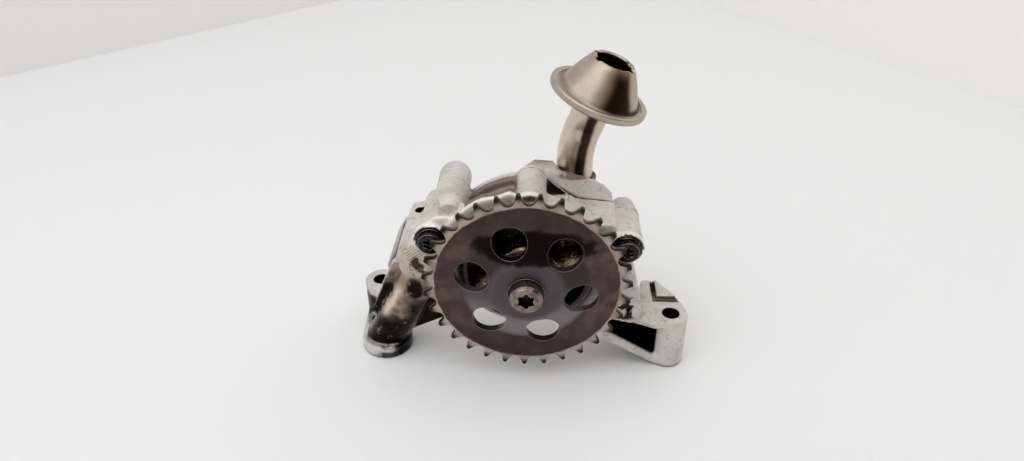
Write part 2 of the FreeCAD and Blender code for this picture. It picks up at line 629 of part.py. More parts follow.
def right_leg():
    """Right leg: bolt boss, top plate, sloping lower rib, rear wall and twin ribs, open to the front."""
    top = RIGHT_BOSS_TOP
    boss = rod_z(FOOT_BOSS_R, FEET_Z, top, RIGHT_BOLT)
    plate = plate_z(LEG_PLATE, top - LEG_PLATE_T, top)
    raised = plate_z(RAISED_PAD, top - LEG_PLATE_T, top + RAISED_PAD_H)
    side_step = plate_z(SIDE_STEP, top - LEG_PLATE_T + 1, top + SIDE_STEP_H)
    rib = plate_y(LEG_RIB, LEG_RIB_FRONT_Y, LEG_BACK_Y + LEG_BACK_T)
    wall = plate_y(LEG_WALL, LEG_BACK_Y, LEG_BACK_Y + LEG_BACK_T)
    rear_post = plate_z(REAR_POST, FEET_Z + REAR_POST_Z, top - 1)
    floor = plate_y(LEG_FLOOR, *LEG_FLOOR_Y)
    peg = rod_y(PEG_R, *PEG_Y, PEG_AT)
    disc = rod_y(PEG_DISC_R, *PEG_DISC_Y, PEG_AT)
    twins = [plate_y(TWIN_RIB, y, y + TWIN_RIB_T) for y in TWIN_RIB_Y]
    return [boss, plate, raised, side_step, rib, wall, rear_post, floor, peg, disc] + twins


def body_solids():
    """What the main casting is joined from, the holes still to be cut."""
    chamber = turned_y([
        (0, SHAFT_BOSS_Y), (SHAFT_BOSS_R, SHAFT_BOSS_Y), (SHAFT_BOSS_R + 1, FACE_Y), (FRONT_NOSE_R, FACE_Y),
        (WAIST_R - 1, FACE_Y + NOSE_L), (WAIST_R, FACE_Y + NOSE_L + 2), (WAIST_R, JOINT_Y), (0, JOINT_Y),
    ])
    front_arc = rod_y(FRONT_ARC_R, FACE_Y + 1, FACE_Y + NOSE_L).common(plate_y(FRONT_ARC, 0, JOINT_Y))
    return [
        chamber, front_arc, plate_y(SHOULDER_FRONT, FACE_Y + 4, JOINT_Y), plate_y(LIP, FACE_Y + 2, FACE_Y + 7),
        plate_y(RIGHT_BLOCK[2:], FACE_Y + 3, JOINT_Y), joint_outline(JOINT_Y - FLANGE_T, JOINT_Y),
        cone_y(SCREW_BOSS_R + 0.4, SCREW_BOSS_R - 0.2, FACE_Y - 0.2, JOINT_Y, LEFT_SCREW),
        cone_y(SCREW_BOSS_R + 0.4, SCREW_BOSS_R - 0.2, FACE_Y - 0.2, JOINT_Y, RIGHT_SCREW),
        cone_y(TOP_BOSS_R, TOP_BOSS_R - 0.3, FACE_Y, JOINT_Y, TOP_SCREW),
        rod_y(RELIEF_R, RELIEF_SEAT_Y, JOINT_Y, RELIEF_AT),
        cone_y(RELIEF_NOSE_R, RELIEF_R, RELIEF_NOSE_Y, RELIEF_SEAT_Y, RELIEF_AT),
    ] + outlet_leg() + right_leg()


def rotor_cuts():
    """Front bush, rotor pocket, and the two ports under the rotors."""
    port_y = POCKET_Y - KIDNEY_DEPTH
    return [
        rod_y(BUSH_R, 0, POCKET_Y + 1),
        rod_y(OUTER_ROTOR_R + ROTOR_SIDE_GAP, POCKET_Y, JOINT_Y + 1, ROTOR_AT),
        kidney(-1, port_y, POCKET_Y + EPS), kidney(1, port_y, POCKET_Y + EPS),
    ]


def outlet_cuts():
    """From the left port down the duct to the outlet in the foot."""
    port_y = POCKET_Y - KIDNEY_DEPTH
    duct_end = (OUTLET_AT[0], OUTLET_AT[1], FEET_Z + OUTLET_DEPTH)
    return [
        plate_y(OUTLET_PORT, port_y, POCKET_Y), plate_y(OUTLET_SUMP, port_y, OUTLET_SUMP_Y),
        rod_between(GALLERY_R, duct_end, GALLERY_TOP),
        rod_z(OUTLET_R, FEET_Z - 1, FEET_Z + OUTLET_DEPTH, OUTLET_AT),
    ]


def relief_cuts():
    """Valve bore, its seat, the feed from the outlet, and the spill hole through the side."""
    feed_y, spill_y = RELIEF_SEAT_Y - RELIEF_FEED_DEPTH / 2, RELIEF_SEAT_Y + SPILL_AFTER_SEAT
    x, z = RELIEF_AT
    return [
        rod_y(RELIEF_BORE_R, RELIEF_SEAT_Y, JOINT_Y + 1, RELIEF_AT),
        rod_y(RELIEF_SEAT_R, RELIEF_SEAT_Y - RELIEF_FEED_DEPTH, RELIEF_SEAT_Y + 1, RELIEF_AT),
        rod_between(RELIEF_FEED_R, (RELIEF_FEED_X, feed_y, 0), (x, feed_y, z)),
        rod_between(SPILL_R, (x - 2 * CHAMBER_WALL_R, spill_y, z), (x, spill_y, z)),
    ]


def make_pump_body():
    flange_front = JOINT_Y - WEDGE_FLANGE_T
    top = RIGHT_BOSS_TOP
    cuts = screw_cuts() + rotor_cuts() + outlet_cuts() + relief_cuts() + [
        rod_z(SHELF_HOLE_R, SHELF_Z - SHELF_HOLE_DEPTH, SHELF_Z + 1, SHELF_HOLE_AT),
        plate_y(WEDGE_POCKET, WEDGE_FRONT_Y, flange_front), plate_y(WEDGE_CORNER, flange_front, JOINT_Y + 1),
        rod_z(BOLT_HOLE_R, FEET_Z - 1, LEFT_BOSS_TOP + 1, LEFT_BOLT),
        rod_z(BOLT_HOLE_R, FEET_Z - 1, top + 1, RIGHT_BOLT),
        plate_z(L_GROOVE, top - L_GROOVE_DEPTH, top + 1),
    ]
    return joined(body_solids()).cut(cuts)


def hood_ridge():
    """Rounded ridge that rises from the joint's diagonal edge, in front of the pickup."""
    low, high = JOINT_Y, JOINT_Y + RIDGE_RISE_Y
    wires = []
    for outline, y in ((RIDGE_FOOT, low), (RIDGE_CREST, high)):
        points = [Vector(x, y, z) for x, z in outline]
        wires.append(Part.makePolygon(points + [points[0]]))
    rise = Part.makeLoft(wires, True, True)
    top = plate_y([(x, z, RIDGE_ROUND if z > RIDGE_ROUND_Z else 0) for x, z in RIDGE_CREST], high, JOINT_Y + RIDGE_T)
    return rise.fuse(top)


def make_rear_cover():
    y0, y1 = JOINT_Y, JOINT_Y + COVER_T
    step = joined([rod_y(CHAMBER_WALL_R - 1.5, y0 + 1, y1), plate_y(REAR_STEP_LEFT, y0 + 1, y1),
                   plate_y(REAR_STEP_RIGHT, y0 + 1, y1)])
    dome_y = RELIEF_END_Y - DOME_START
    hood = plate_x(HOOD, *HOOD_X).fuse(plate_x(HOOD_LUG, *HOOD_LUG_X)).common(plate_z(HOOD_FROM_ABOVE, -60, 60))
    solids = [
        joint_outline(y0, y0 + LEDGE_T), plate_y(LEDGE, y0, y0 + LEDGE_T), step, hood, hood_ridge(),
        rod_y(RELIEF_R, y0, dome_y, RELIEF_AT),
        Part.makeSphere(RELIEF_R, Vector(RELIEF_AT[0], dome_y, RELIEF_AT[1])),
        cone_y(BEARING_BOSS_R, BEARING_BOSS_R - 1.3, y1 - 1, REAR_BUSH_END_Y + 3),
        cone_y(TOP_BOSS_R - 0.2, TOP_BOSS_R - 1.6, y0, y0 + RIDGE_T, TOP_SCREW),
    ]
    for at in (LEFT_SCREW, RIGHT_SCREW):
        solids.append(cone_y(SCREW_BOSS_R, SCREW_BOSS_END_R, y0, SCREW_END_Y + 2.5, at))
    flange_gap = SPOT_FACE_GAP
    cuts = [
        rod_y(BUSH_R, y0 - 1, REAR_BUSH_END_Y),
        rod_y(SHAFT_R - 1, y0, REAR_BUSH_END_Y + 1),
        rod_y(RELIEF_BORE_R, y0 - 1, RELIEF_END_Y, RELIEF_AT),
        rod_y(SCREW_R, y0 - 1, SCREW_END_Y + 1, LEFT_SCREW), rod_y(SCREW_R, y0 - 1, SCREW_END_Y + 1, RIGHT_SCREW),
        rod_y(TOP_SCREW_R, y0 - 1, y0 + RIDGE_T + 1, TOP_SCREW),
        link_z(PICKUP_AT, FLANGE_RING_R + flange_gap, PICKUP_BOLT_AT, EAR_R + flange_gap, PAD_Z, PAD_Z + 30),
        kidney(1, y0 - 1, y0 + KIDNEY_DEPTH), kidney(-1, y0 - 1, y0 + KIDNEY_DEPTH),
        rod_z(TUBE_R + ASSEMBLY_GAP, PAD_Z - SPIGOT_L - 1, PAD_Z + 1, PICKUP_AT),
        rod_z(TUBE_R + 2 * SEAL_SECTION_R, PAD_Z - SEAL_RECESS, PAD_Z + 1, PICKUP_AT),
        rod_z(TUBE_R - TUBE_WALL, INLET_Z, PAD_Z, PICKUP_AT),
        plate_y(INLET, y0 - 1, PICKUP_AT[1]),
        rod_z(PICKUP_BOLT_R, PAD_Z - THREAD_DEPTH - 2, PAD_Z + 1, PICKUP_BOLT_AT),
    ]
    return joined(solids).cut(cuts)


# Screws
def make_cover_screw(at):
    """Flange screw with a stepped round head and a six-lobed socket."""
    seat, step = SCREW_SEAT_Y, SCREW_SEAT_Y - SCREW_FLANGE_T
    front = step - SCREW_HEAD_H
    flange = rod_y(SCREW_FLANGE_R, step, seat, at)
    head = cone_y(SCREW_HEAD_R - HEAD_TAPER, SCREW_HEAD_R, front, step, at)
    shank = rod_y(SCREW_R - ASSEMBLY_GAP, seat - EPS, SCREW_END_Y, at)
    socket = star_socket(SCREW_SOCKET_R, front - 1, front + SCREW_SOCKET_DEPTH, at)
    return joined([flange, head, shank]).cut(socket)


def make_top_screw():
    """Socket screw whose head lies in the recess of the top boss."""
    seat = FACE_Y + TOP_RECESS_DEPTH
    head = cone_y(TOP_HEAD_R - HEAD_TAPER, TOP_HEAD_R, seat - TOP_HEAD_H, seat, TOP_SCREW)
    shank = rod_y(TOP_SCREW_R - ASSEMBLY_GAP, seat - EPS, JOINT_Y + TOP_SCREW_GRIP, TOP_SCREW)
    front = seat - TOP_HEAD_H
    socket = star_socket(SCREW_SOCKET_R, front - 1, front + SCREW_SOCKET_DEPTH, TOP_SCREW)
    return head.fuse(shank).removeSplitter().cut(socket)


# Relief valve
def make_relief_piston():
    r = RELIEF_BORE_R - PISTON_GAP
    cup = rod_y(r, RELIEF_SEAT_Y, RELIEF_SEAT_Y + PISTON_L, RELIEF_AT)
    return cup.cut(rod_y(r - PISTON_WALL, RELIEF_SEAT_Y + PISTON_CROWN, RELIEF_SEAT_Y + PISTON_L + 1, RELIEF_AT))


def make_relief_spring():
    """Coil spring between the piston's crown and the end of the rear bore, its wire six-sided to keep it light."""
    start = RELIEF_SEAT_Y + PISTON_CROWN + SPRING_WIRE_R
    length = RELIEF_END_Y - SPRING_WIRE_R - start
    helix = Part.makeHelix(length / SPRING_TURNS, length, SPRING_R)
    corners = []
    for k in range(6):
        turn = math.radians(60 * k + 30)
        corners.append(Vector(SPRING_R + SPRING_WIRE_R * math.cos(turn), 0, SPRING_WIRE_R * math.sin(turn)))
    section = Part.makePolygon(corners + [corners[0]])
    coil = Part.Wire(helix).makePipeShell([section], True, True)
    coil.rotate(Vector(0, 0, 0), Vector(1, 0, 0), -90)
    coil.translate(Vector(RELIEF_AT[0], start, RELIEF_AT[1]))
    return coil


# Pickup
def tube_path():
    """Centre line of the pickup tube: straight up out of the pad, one bend to the right, straight on to the bell."""
    x, y = PICKUP_AT
    lean = math.radians(TUBE_LEAN)
    high = Vector(*BELL_CENTRE) - TUBE_AXIS * TUBE_END_BELOW
    straight = (high.x - x - TUBE_BEND_R * (1 - math.cos(lean))) / math.sin(lean)
    bend_z = high.z - TUBE_BEND_R * math.sin(lean) - straight * math.cos(lean)
    low = Vector(x, y, PAD_Z - SPIGOT_L)
    bend = [Vector(x + TUBE_BEND_R * (1 - math.cos(turn)), y, bend_z + TUBE_BEND_R * math.sin(turn))
            for turn in (0, lean / 2, lean)]
    return [low] + bend + [high]


def tube_solid(radius):
    low, bend_start, middle, bend_end, high = tube_path()
    path = Part.Wire([
        Part.LineSegment(low, bend_start).toShape(), Part.Arc(bend_start, middle, bend_end).toShape(),
        Part.LineSegment(bend_end, high).toShape(),
    ])
    section = Part.Wire(Part.makeCircle(radius, low, UP))
    return path.makePipeShell([section], True, False)


def make_pickup_tube():
    return tube_solid(TUBE_R).cut(tube_solid(TUBE_R - TUBE_WALL))


def make_pickup_flange():
    z0, z1 = PAD_Z, PAD_Z + FLANGE_PLATE_T
    plate = link_z(PICKUP_AT, FLANGE_RING_R, PICKUP_BOLT_AT, EAR_R, z0, z1)
    hole = rod_z(PICKUP_BOLT_R + 0.4, z0 - 1, z1 + 1, PICKUP_BOLT_AT)
    return plate.cut([hole, tube_solid(TUBE_R + EPS)])


def make_pickup_seal():
    """Ring round the tube in the pad's recess, squeezed square."""
    low, high = PAD_Z - 2 * SEAL_SECTION_R, PAD_Z - EPS
    ring = rod_z(TUBE_R + 2 * SEAL_SECTION_R - EPS, low, high, PICKUP_AT)
    return ring.cut(rod_z(TUBE_R + EPS, low - 1, high + 1, PICKUP_AT))


def make_pickup_bolt():
    seat = PAD_Z + FLANGE_PLATE_T
    washer = rod_z(PICKUP_WASHER_R, seat, seat + PICKUP_WASHER_T, PICKUP_BOLT_AT)
    head = hex_prism(HEX_AF, seat + PICKUP_WASHER_T - EPS, seat + PICKUP_WASHER_T + HEX_H, PICKUP_BOLT_AT)
    shank = rod_z(PICKUP_BOLT_R - ASSEMBLY_GAP, PAD_Z - THREAD_DEPTH, seat + EPS, PICKUP_BOLT_AT)
    return joined([washer, head, shank])


def on_bell(shape):
    """Move a shape made about Z at the origin to the bell's place and lean."""
    shape.rotate(Vector(0, 0, 0), SHAFT_AXIS, TUBE_LEAN)
    shape.translate(Vector(*BELL_CENTRE))
    return shape


def make_bell_base():
    """Dished plate under the bell, its rim folded up round the cone's edge."""
    r, t = BELL_RIM_R, SHEET_T
    inner = TUBE_R + EPS
    shape = turned_z([
        (inner, -5.0), (inner + t, -5.0), (inner + t, -3.4), (BELL_CONE_R, -2.6), (r - 0.6, -1.4), (r, -0.8),
        (r, 1.0), (r - 0.7, 1.5), (r - 2.6, 1.5), (r - 2.6, 1.05), (r - 1.0, 1.05), (r - 1.0, -0.4),
        (BELL_CONE_R - 1, -1.6), (inner, -2.4),
    ])
    return on_bell(shape)


def make_bell_cone():
    """Stamped cone: flat rim, straight side, rounded shoulder and a notched mouth."""
    t = SHEET_T
    top = BELL_H
    outer = [(BELL_RIM_R - 1.05, -0.35), (BELL_RIM_R - 1.05, 1.0), (BELL_RIM_R - 2.7, 1.0), (BELL_CONE_R + 0.8, 1.0),
             (BELL_CONE_R, 1.8), (BELL_SHOULDER_R + 0.5, top - 3.2), (BELL_SHOULDER_R - 0.9, top - 1.2),
             (BELL_MOUTH_R + 0.9, top - 0.2), (BELL_MOUTH_R, top)]
    inner = [(BELL_MOUTH_R, top - t), (BELL_SHOULDER_R - 1.6, top - 2.1), (BELL_SHOULDER_R - 0.5, top - 3.6),
             (BELL_CONE_R - t, 1.4), (BELL_CONE_R - t, -0.35)]
    shell = turned_z(outer + inner)
    notches = []
    for angle in (20, 80, 200, 260):
        notch = Part.makeBox(2.6, 2.4, 4, Vector(BELL_MOUTH_R - 1.2, -1.2, top - 3))
        notch.rotate(Vector(0, 0, 0), UP, angle)
        notches.append(notch)
    return on_bell(shell.cut(notches))


def make_strainer():
    """Perforated disc held between the base and the cone."""
    disc = Part.makeCylinder(BELL_CONE_R - SHEET_T - 0.1, STRAINER_T, Vector(0, 0, STRAINER_Z))
    holes = [Part.makeCylinder(STRAINER_HOLE_R, 3, Vector(0, 0, STRAINER_Z - 1))]
    for k in range(6):
        angle = math.radians(60 * k)
        spot = Vector(STRAINER_RING_R * math.cos(angle), STRAINER_RING_R * math.sin(angle), STRAINER_Z - 1)
        holes.append(Part.makeCylinder(STRAINER_HOLE_R, 3, spot))
    return on_bell(disc.cut(holes))


PIECES = {
    "pump_body": make_pump_body,
    "rear_cover": make_rear_cover,
    "drive_sprocket": make_sprocket,
    "sprocket_bolt": make_sprocket_bolt,
    "sprocket_collar": make_sprocket_collar,
    "drive_shaft": make_drive_shaft,
    "front_bush": make_front_bush,
    "rear_bush": make_rear_bush,
    "inner_rotor": make_inner_rotor,
    "outer_rotor": make_outer_rotor,
    "left_cover_screw": lambda: make_cover_screw(LEFT_SCREW),
    "right_cover_screw": lambda: make_cover_screw(RIGHT_SCREW),
    "top_cover_screw": make_top_screw,
    "relief_piston": make_relief_piston,
    "relief_spring": make_relief_spring,
    "pickup_tube": make_pickup_tube,
    "pickup_flange": make_pickup_flange,
    "pickup_seal": make_pickup_seal,
    "pickup_bolt": make_pickup_bolt,
    "bell_base": make_bell_base,
    "bell_cone": make_bell_cone,
    "strainer": make_strainer,
}

os.makedirs("parts", exist_ok=True)
for name, maker in PIECES.items():
    shape = maker()
    shape.exportStep(os.path.join("parts", name + ".step"))
    print(name, "solids", len(shape.Solids), "valid", shape.isValid(), "volume", round(shape.Volume, 1))
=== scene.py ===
import functools
import math

import bmesh
import bpy
import numpy as np
from mathutils import Matrix, Vector


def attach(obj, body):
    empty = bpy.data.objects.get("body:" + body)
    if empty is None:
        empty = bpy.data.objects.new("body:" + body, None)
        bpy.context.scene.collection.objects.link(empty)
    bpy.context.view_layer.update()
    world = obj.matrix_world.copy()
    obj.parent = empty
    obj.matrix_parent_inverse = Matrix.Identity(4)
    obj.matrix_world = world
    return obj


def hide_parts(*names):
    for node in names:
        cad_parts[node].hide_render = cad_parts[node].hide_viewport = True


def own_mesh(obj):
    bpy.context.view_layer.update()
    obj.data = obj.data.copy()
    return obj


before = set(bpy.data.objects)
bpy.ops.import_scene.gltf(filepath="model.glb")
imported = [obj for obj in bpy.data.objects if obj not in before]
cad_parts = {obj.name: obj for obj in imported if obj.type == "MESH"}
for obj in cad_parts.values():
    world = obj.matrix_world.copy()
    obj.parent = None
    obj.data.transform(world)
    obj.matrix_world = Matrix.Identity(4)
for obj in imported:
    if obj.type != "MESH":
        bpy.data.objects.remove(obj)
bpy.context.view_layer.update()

# Engine oil pump: the looks of its castings, chain wheel, screws, pickup tube and bell.
# Lengths are in metres, in the same frame as the solids: the shaft lies along Y, the feet rest at FLOOR_Z.
MM = 0.001
FLOOR_Z = -50.0 * MM

# Pickup, from the same values as the solids
PAD_Z = 20.5 * MM
SPIGOT = 9.0 * MM
PICKUP_AT = (18.4 * MM, 45.0 * MM)
TUBE_R = 7.6 * MM
TUBE_WALL = 1.2 * MM
TUBE_LEAN = math.radians(20.4)
TUBE_BEND_R = 46.0 * MM
TUBE_END_BELOW = 1.5 * MM
BELL_CENTRE = np.array([26.5, 45.0, 60.3]) * MM
BELL_RIM_R = 20.4 * MM
BELL_CONE_R = 16.2 * MM
BELL_SHOULDER_R = 10.2 * MM
BELL_MOUTH_R = 7.2 * MM
BELL_H = 17.0 * MM

# What the photograph adds to the pickup: the mouth's height and notches (degrees), the dent in the tube, and
# how many corners of the mouth's lip come before the painted shade inside the mouth
MOUTH_DROP = 1.3 * MM
NOTCH_ANGLES = (28.0, 152.0, 208.0, 332.0)
NOTCH_HALF_WIDTH = 12.0
NOTCH_STEEPNESS = 0.9
DENT_BELOW_END = 12.6 * MM
DENT_ANGLE = math.radians(-99.0)
DENT_LENGTH = 2.6 * MM
DENT_SPREAD = 0.4
DENT_DEPTH = 1.3 * MM
LIP_CORNERS_SHOWN = 2.6

# Axes along the shaft (x, z)
LEFT_SCREW = (-38.2 * MM, 14.9 * MM)
RIGHT_SCREW = (38.85 * MM, 13.1 * MM)
TOP_SCREW = (0.7 * MM, 30.6 * MM)
SHAFT = (0.0, 0.0)
RELIEF_AT = (-30.9 * MM, 25.2 * MM)
BOLT_FRONT_Y = -11.10 * MM

# Relief valve
RELIEF_BORE_R = 4.52 * MM
RELIEF_BORE_Y = (15.6 * MM, 39.9 * MM)
RELIEF_BORE_MARGIN = 0.5 * MM
SPRING_R = 2.45 * MM
SPRING_WIRE_R = 0.55 * MM
SPRING_TURNS = 6
SPRING_Y = (18.1 * MM, 39.9 * MM)

# Upright holes: x, y, radius and the height of their mouth
LEFT_BOLT = (-66.7 * MM, 38.5 * MM, 3.5 * MM, -29.0 * MM)
RIGHT_BOLT = (60.8 * MM, 15.4 * MM, 3.5 * MM, -25.2 * MM)
SHELF_HOLE = (-43.9 * MM, 23.5 * MM, 2.1 * MM, 18.5 * MM)

# Outlet duct: a point of its axis, and its slope in x for each metre of height
DUCT_TOP_X = -42.5 * MM
DUCT_TOP_Z = -6.0 * MM
DUCT_SLOPE = 0.495

# Stains, worn places, and the places of painted shade and painted glints: centre and reach of each
DUCT_SPOT = np.array([(-46.6, 10.3, -12.2), (3.6, 6.0, 5.6)]) * MM
FILE_MARKS = np.array([(-45.5, 9.0, 5.0), (6.5, 3.0, 5.5)]) * MM
BEIGE_PATCH = np.array([(-44.0, 9.0, 1.0), (9.5, 4.0, 10.5)]) * MM
LIP_SHADE_AND_STAIN = np.array([(-42.5, 9.0, -1.0), (5.5, 4.0, 6.5)]) * MM
TUBE_FOOT_STAIN = np.array([(18.5, 31.5, 32.3), (6.8, 5.0, 2.4)]) * MM
RIB_DARK_PATCH = np.array([(41.5, 13.0, -20.0), (5.5, 6.0, 6.0)]) * MM
WHEEL_TOP_SHADE = np.array([(3.0, -3.0, 19.0), (24.0, 10.0, 7.2)]) * MM
GLINT_PLACES = np.array([
    [(16.5, 7.0, 7.0), (6.0, 4.0, 4.5)],
    [(-3.5, 5.5, 11.2), (5.5, 5.0, 4.5)],
    [(-17.5, 7.0, -6.0), (3.5, 4.0, 4.5)],
]) * MM

# Hollows painted black inside as shade: low, high and softness in x, in y and in z
LEG_POCKET = np.array([(33.0, 57.4, 0.6), (11.0, 24.6, 0.5), (-49.0, -28.3, 0.5)]) * MM
PAD_WEDGE = np.array([(6.9, 15.0, 0.5), (23.0, 26.4, 0.6), (26.0, 34.0, 0.5)]) * MM
LONG_GROOVE = np.array([(53.7, 55.7, 0.3), (22.8, 36.4, 0.4), (-28.0, -22.0, 0.4)]) * MM
CROSS_GROOVE = np.array([(53.7, 65.2, 0.3), (22.6, 24.5, 0.3), (-28.0, -22.0, 0.4)]) * MM


# Fineness of the surfaces: columns round a shape, rows along it, rounds of smoothing, cells of the cast
# skins, the angle from which an edge stays sharp, the distance at which two points are one
BELL_COLUMNS = 240
TUBE_COLUMNS = 128
TUBE_ROWS = 120
WIRE_COLUMNS = 14
WIRE_ROWS_PER_TURN = 40
CORNER_ROUNDS = 3
RELAX_ROUNDS = 3
RELAX_PULLS = (0.5, -0.52)
HOUSING_CELL = 0.66 * MM
COVER_CELL = 0.55 * MM
SHARP_ANGLE = math.radians(50.0)
SAME_POINT = 1e-6

# Stage: how far the table and the walls reach, and the lines on which the walls stand
TABLE_REACH = 2.5
WALL_HEIGHT = 0.5
WALL_OVERLAP = 0.6
LEFT_WALL = ((-0.3985, 0.2953), (-0.1843, 0.4798))
RIGHT_WALL = ((0.1368, 0.4935), (0.3350, 0.2727))

# Surroundings: the way to the dark side, the strength of the rest, the backdrop's grey
DARK_SIDE = (0.93, -0.33, 0.14)
ROOM_STRENGTH = 0.62
BACKDROP = (0.82, 0.82, 0.81, 1.0)

# Camera, at the photograph's place
AZIMUTH, ELEVATION = math.radians(2.4383), math.radians(34.2377)
CAMERA_AT = (5.0524 * MM, -254.5433 * MM, 198.7321 * MM)
CAMERA_BACK = (
    math.sin(AZIMUTH) * math.cos(ELEVATION), -math.cos(AZIMUTH) * math.cos(ELEVATION), math.sin(ELEVATION),
)


# Finishes. Their numbers are colours, places and shares chosen to look like the photograph.
class Value:
    """A socket that takes part in sums. Each operator adds the Math node that works it out."""

    def __init__(self, tree, socket):
        self.tree = tree
        self.socket = socket

    def __add__(self, other):
        return self.tree.maths("ADD", self, other)

    def __radd__(self, other):
        return self.tree.maths("ADD", other, self)

    def __sub__(self, other):
        return self.tree.maths("SUBTRACT", self, other)

    def __rsub__(self, other):
        return self.tree.maths("SUBTRACT", other, self)

    def __mul__(self, other):
        return self.tree.maths("MULTIPLY", self, other)

    def __rmul__(self, other):
        return self.tree.maths("MULTIPLY", other, self)

    def __pow__(self, other):
        return self.tree.maths("POWER", self, other)


class Tree:
    """The nodes of a material or of the world, emptied and built anew."""

    def __init__(self, node_tree):
        self.nodes = node_tree.nodes
        self.links = node_tree.links
        self.nodes.clear()

    def node(self, kind, settings=None, sockets=None, out=0):
        """A node of this kind. Its settings go in first, then the values or links of its sockets.
        Gives the output that out names, a list of them for a tuple, or nothing for None."""
        made = self.nodes.new(kind)
        for key, value in (settings or {}).items():
            if key == "stops":
                for stop, (position, color) in zip(made.color_ramp.elements, value):
                    stop.position = position
                    stop.color = color
            else:
                setattr(made, key, value)
        for key, value in (sockets or {}).items():
            if isinstance(value, Value):
                self.links.new(value.socket, made.inputs[key])
            else:
                made.inputs[key].default_value = value
        if out is None:
            return None
        if isinstance(out, tuple):
            return [Value(self, made.outputs[name]) for name in out]
        return Value(self, made.outputs[out])

    def maths(self, operation, *values):
        """Value of a Math node with this operation."""
        return self.node("ShaderNodeMath", {"operation": operation}, dict(enumerate(values)))

    def dot(self, one, other):
        """Dot product of two vectors."""
        settings = {"operation": "DOT_PRODUCT"}
        return self.node("ShaderNodeVectorMath", settings, {0: one, 1: other}, out="Value")

    def most(self, *values):
        """The highest of these values."""
        return functools.reduce(functools.partial(self.maths, "MAXIMUM"), values)


class Finish(Tree):
    """A material being built: patterns and masks over the piece, and the one shader that they feed."""

    def __init__(self, name):
        self.material = bpy.data.materials.new(name)
        self.material.use_nodes = True
        super().__init__(self.material.node_tree)
        self.place = self.node("ShaderNodeTexCoord", out="Object")
        apart = self.node("ShaderNodeSeparateXYZ", sockets={0: self.place}, out=("X", "Y", "Z"))
        self.x, self.y, self.z = apart

    def step(self, value, low, high):
        """0 below low and 1 above high, smooth between. With low above high it falls instead."""
        return self.node("ShaderNodeMapRange", {"interpolation_type": "SMOOTHSTEP"},
                         {"Value": value, "From Min": low, "From Max": high})

    def band(self, value, low, high, soft):
        """1 between low and high, with edges of the given softness."""
        return self.step(value, low - soft, low + soft) * self.step(value, high + soft, high - soft)

    def box(self, spans):
        """1 inside a box, given as low, high and softness in x, in y and in z."""
        across, deep, high = (self.band(axis, *span) for axis, span in zip((self.x, self.y, self.z), spans))
        return across * deep * high

    def blot(self, place, soft=0.35):
        """1 near the centre of a place, 0 outside the ellipsoid of its reach, with a ragged edge."""
        parts = [((axis - c) * (1.0 / r)) ** 2.0 for axis, c, r in zip((self.x, self.y, self.z), *place)]
        away = parts[0] + parts[1] + parts[2] + self.waver(260.0, 3.0, 0.9)
        return self.step(away, 1.0 + soft, 1.0 - soft)

    def noise(self, scale, detail=2.0, stretch=None):
        """Cloudy pattern, about 0.5 on average, with scale in lumps per metre."""
        vector = self.place
        if stretch is not None:
            vector = self.node("ShaderNodeMapping", sockets={"Vector": self.place, "Scale": stretch})
        return self.node("ShaderNodeTexNoise", sockets={"Vector": vector, "Scale": scale, "Detail": detail})

    def clouds(self, scale, detail, low, high):
        """Noise with its contrast raised: 0 where it is below low and 1 where it is above high."""
        return self.step(self.noise(scale, detail), low, high)

    def waver(self, scale, detail, size):
        """Noise about 0 over a range of this size, which makes the edge of a mask ragged."""
        return (self.noise(scale, detail) - 0.5) * size

    def specks(self, scale, size):
        """Small round dots, one to a cell, of the given size from 0 to 1."""
        sockets = {"Vector": self.place, "Scale": scale}
        return self.step(self.node("ShaderNodeTexVoronoi", sockets=sockets, out="Distance"), size, size * 0.4)

    def mark(self, name):
        """Attribute that a piece carries on its points."""
        return self.node("ShaderNodeAttribute", {"attribute_name": name}, out="Fac")

    def mix(self, mask, color, other):
        """color where the mask is 0 and other where it is 1. Sockets 6 and 7 are the Mix node's colours."""
        return self.node("ShaderNodeMix", {"data_type": "RGBA"}, {0: mask, 6: color, 7: other}, out=2)

    def axis_distance(self, axis):
        """Distance from an axis along Y through (x, z)."""
        across, up = self.x - axis[0], self.z - axis[1]
        return self.maths("SQRT", across * across + up * up)

    def open_air(self, distance):
        """1 in the open, less where other faces stand within this distance."""
        return self.node("ShaderNodeAmbientOcclusion", {"samples": 8}, {"Distance": distance}, out="AO")

    def relief(self, height, depth, base=None):
        """Normal of a surface that rises by height times depth, in metres."""
        sockets = {"Height": height, "Distance": depth, "Strength": 1.0}
        if base is not None:
            sockets["Normal"] = base
        return self.node("ShaderNodeBump", sockets=sockets)

    def soft_edges(self, radius):
        """Normal with every sharp edge broken by this radius."""
        return self.node("ShaderNodeBevel", {"samples": 6}, {"Radius": radius})

    def worn_edges(self, soft):
        """1 on broken edges, 0 on flat faces."""
        flat = self.node("ShaderNodeNewGeometry", out="Normal")
        return self.step(self.dot(soft, flat), 0.995, 0.90)

    def wear(self, **inputs):
        """Close the material with one Principled shader that has these inputs, numbers or values."""
        sockets = {name.replace("_", " "): value for name, value in inputs.items()}
        shader = self.node("ShaderNodeBsdfPrincipled", sockets=sockets)
        self.node("ShaderNodeOutputMaterial", sockets={"Surface": shader}, out=None)
        return self.material


def srgb(*levels):
    """Colour written as 0 to 255 in a picture, as the linear colour that a shader takes."""
    scaled = [level / 255.0 for level in levels]
    return tuple([s / 12.92 if s <= 0.04045 else ((s + 0.055) / 1.055) ** 2.4 for s in scaled] + [1.0])


def darker(color, share):
    """This share of a colour's light."""
    return tuple(share * level for level in color[:3]) + (1.0,)


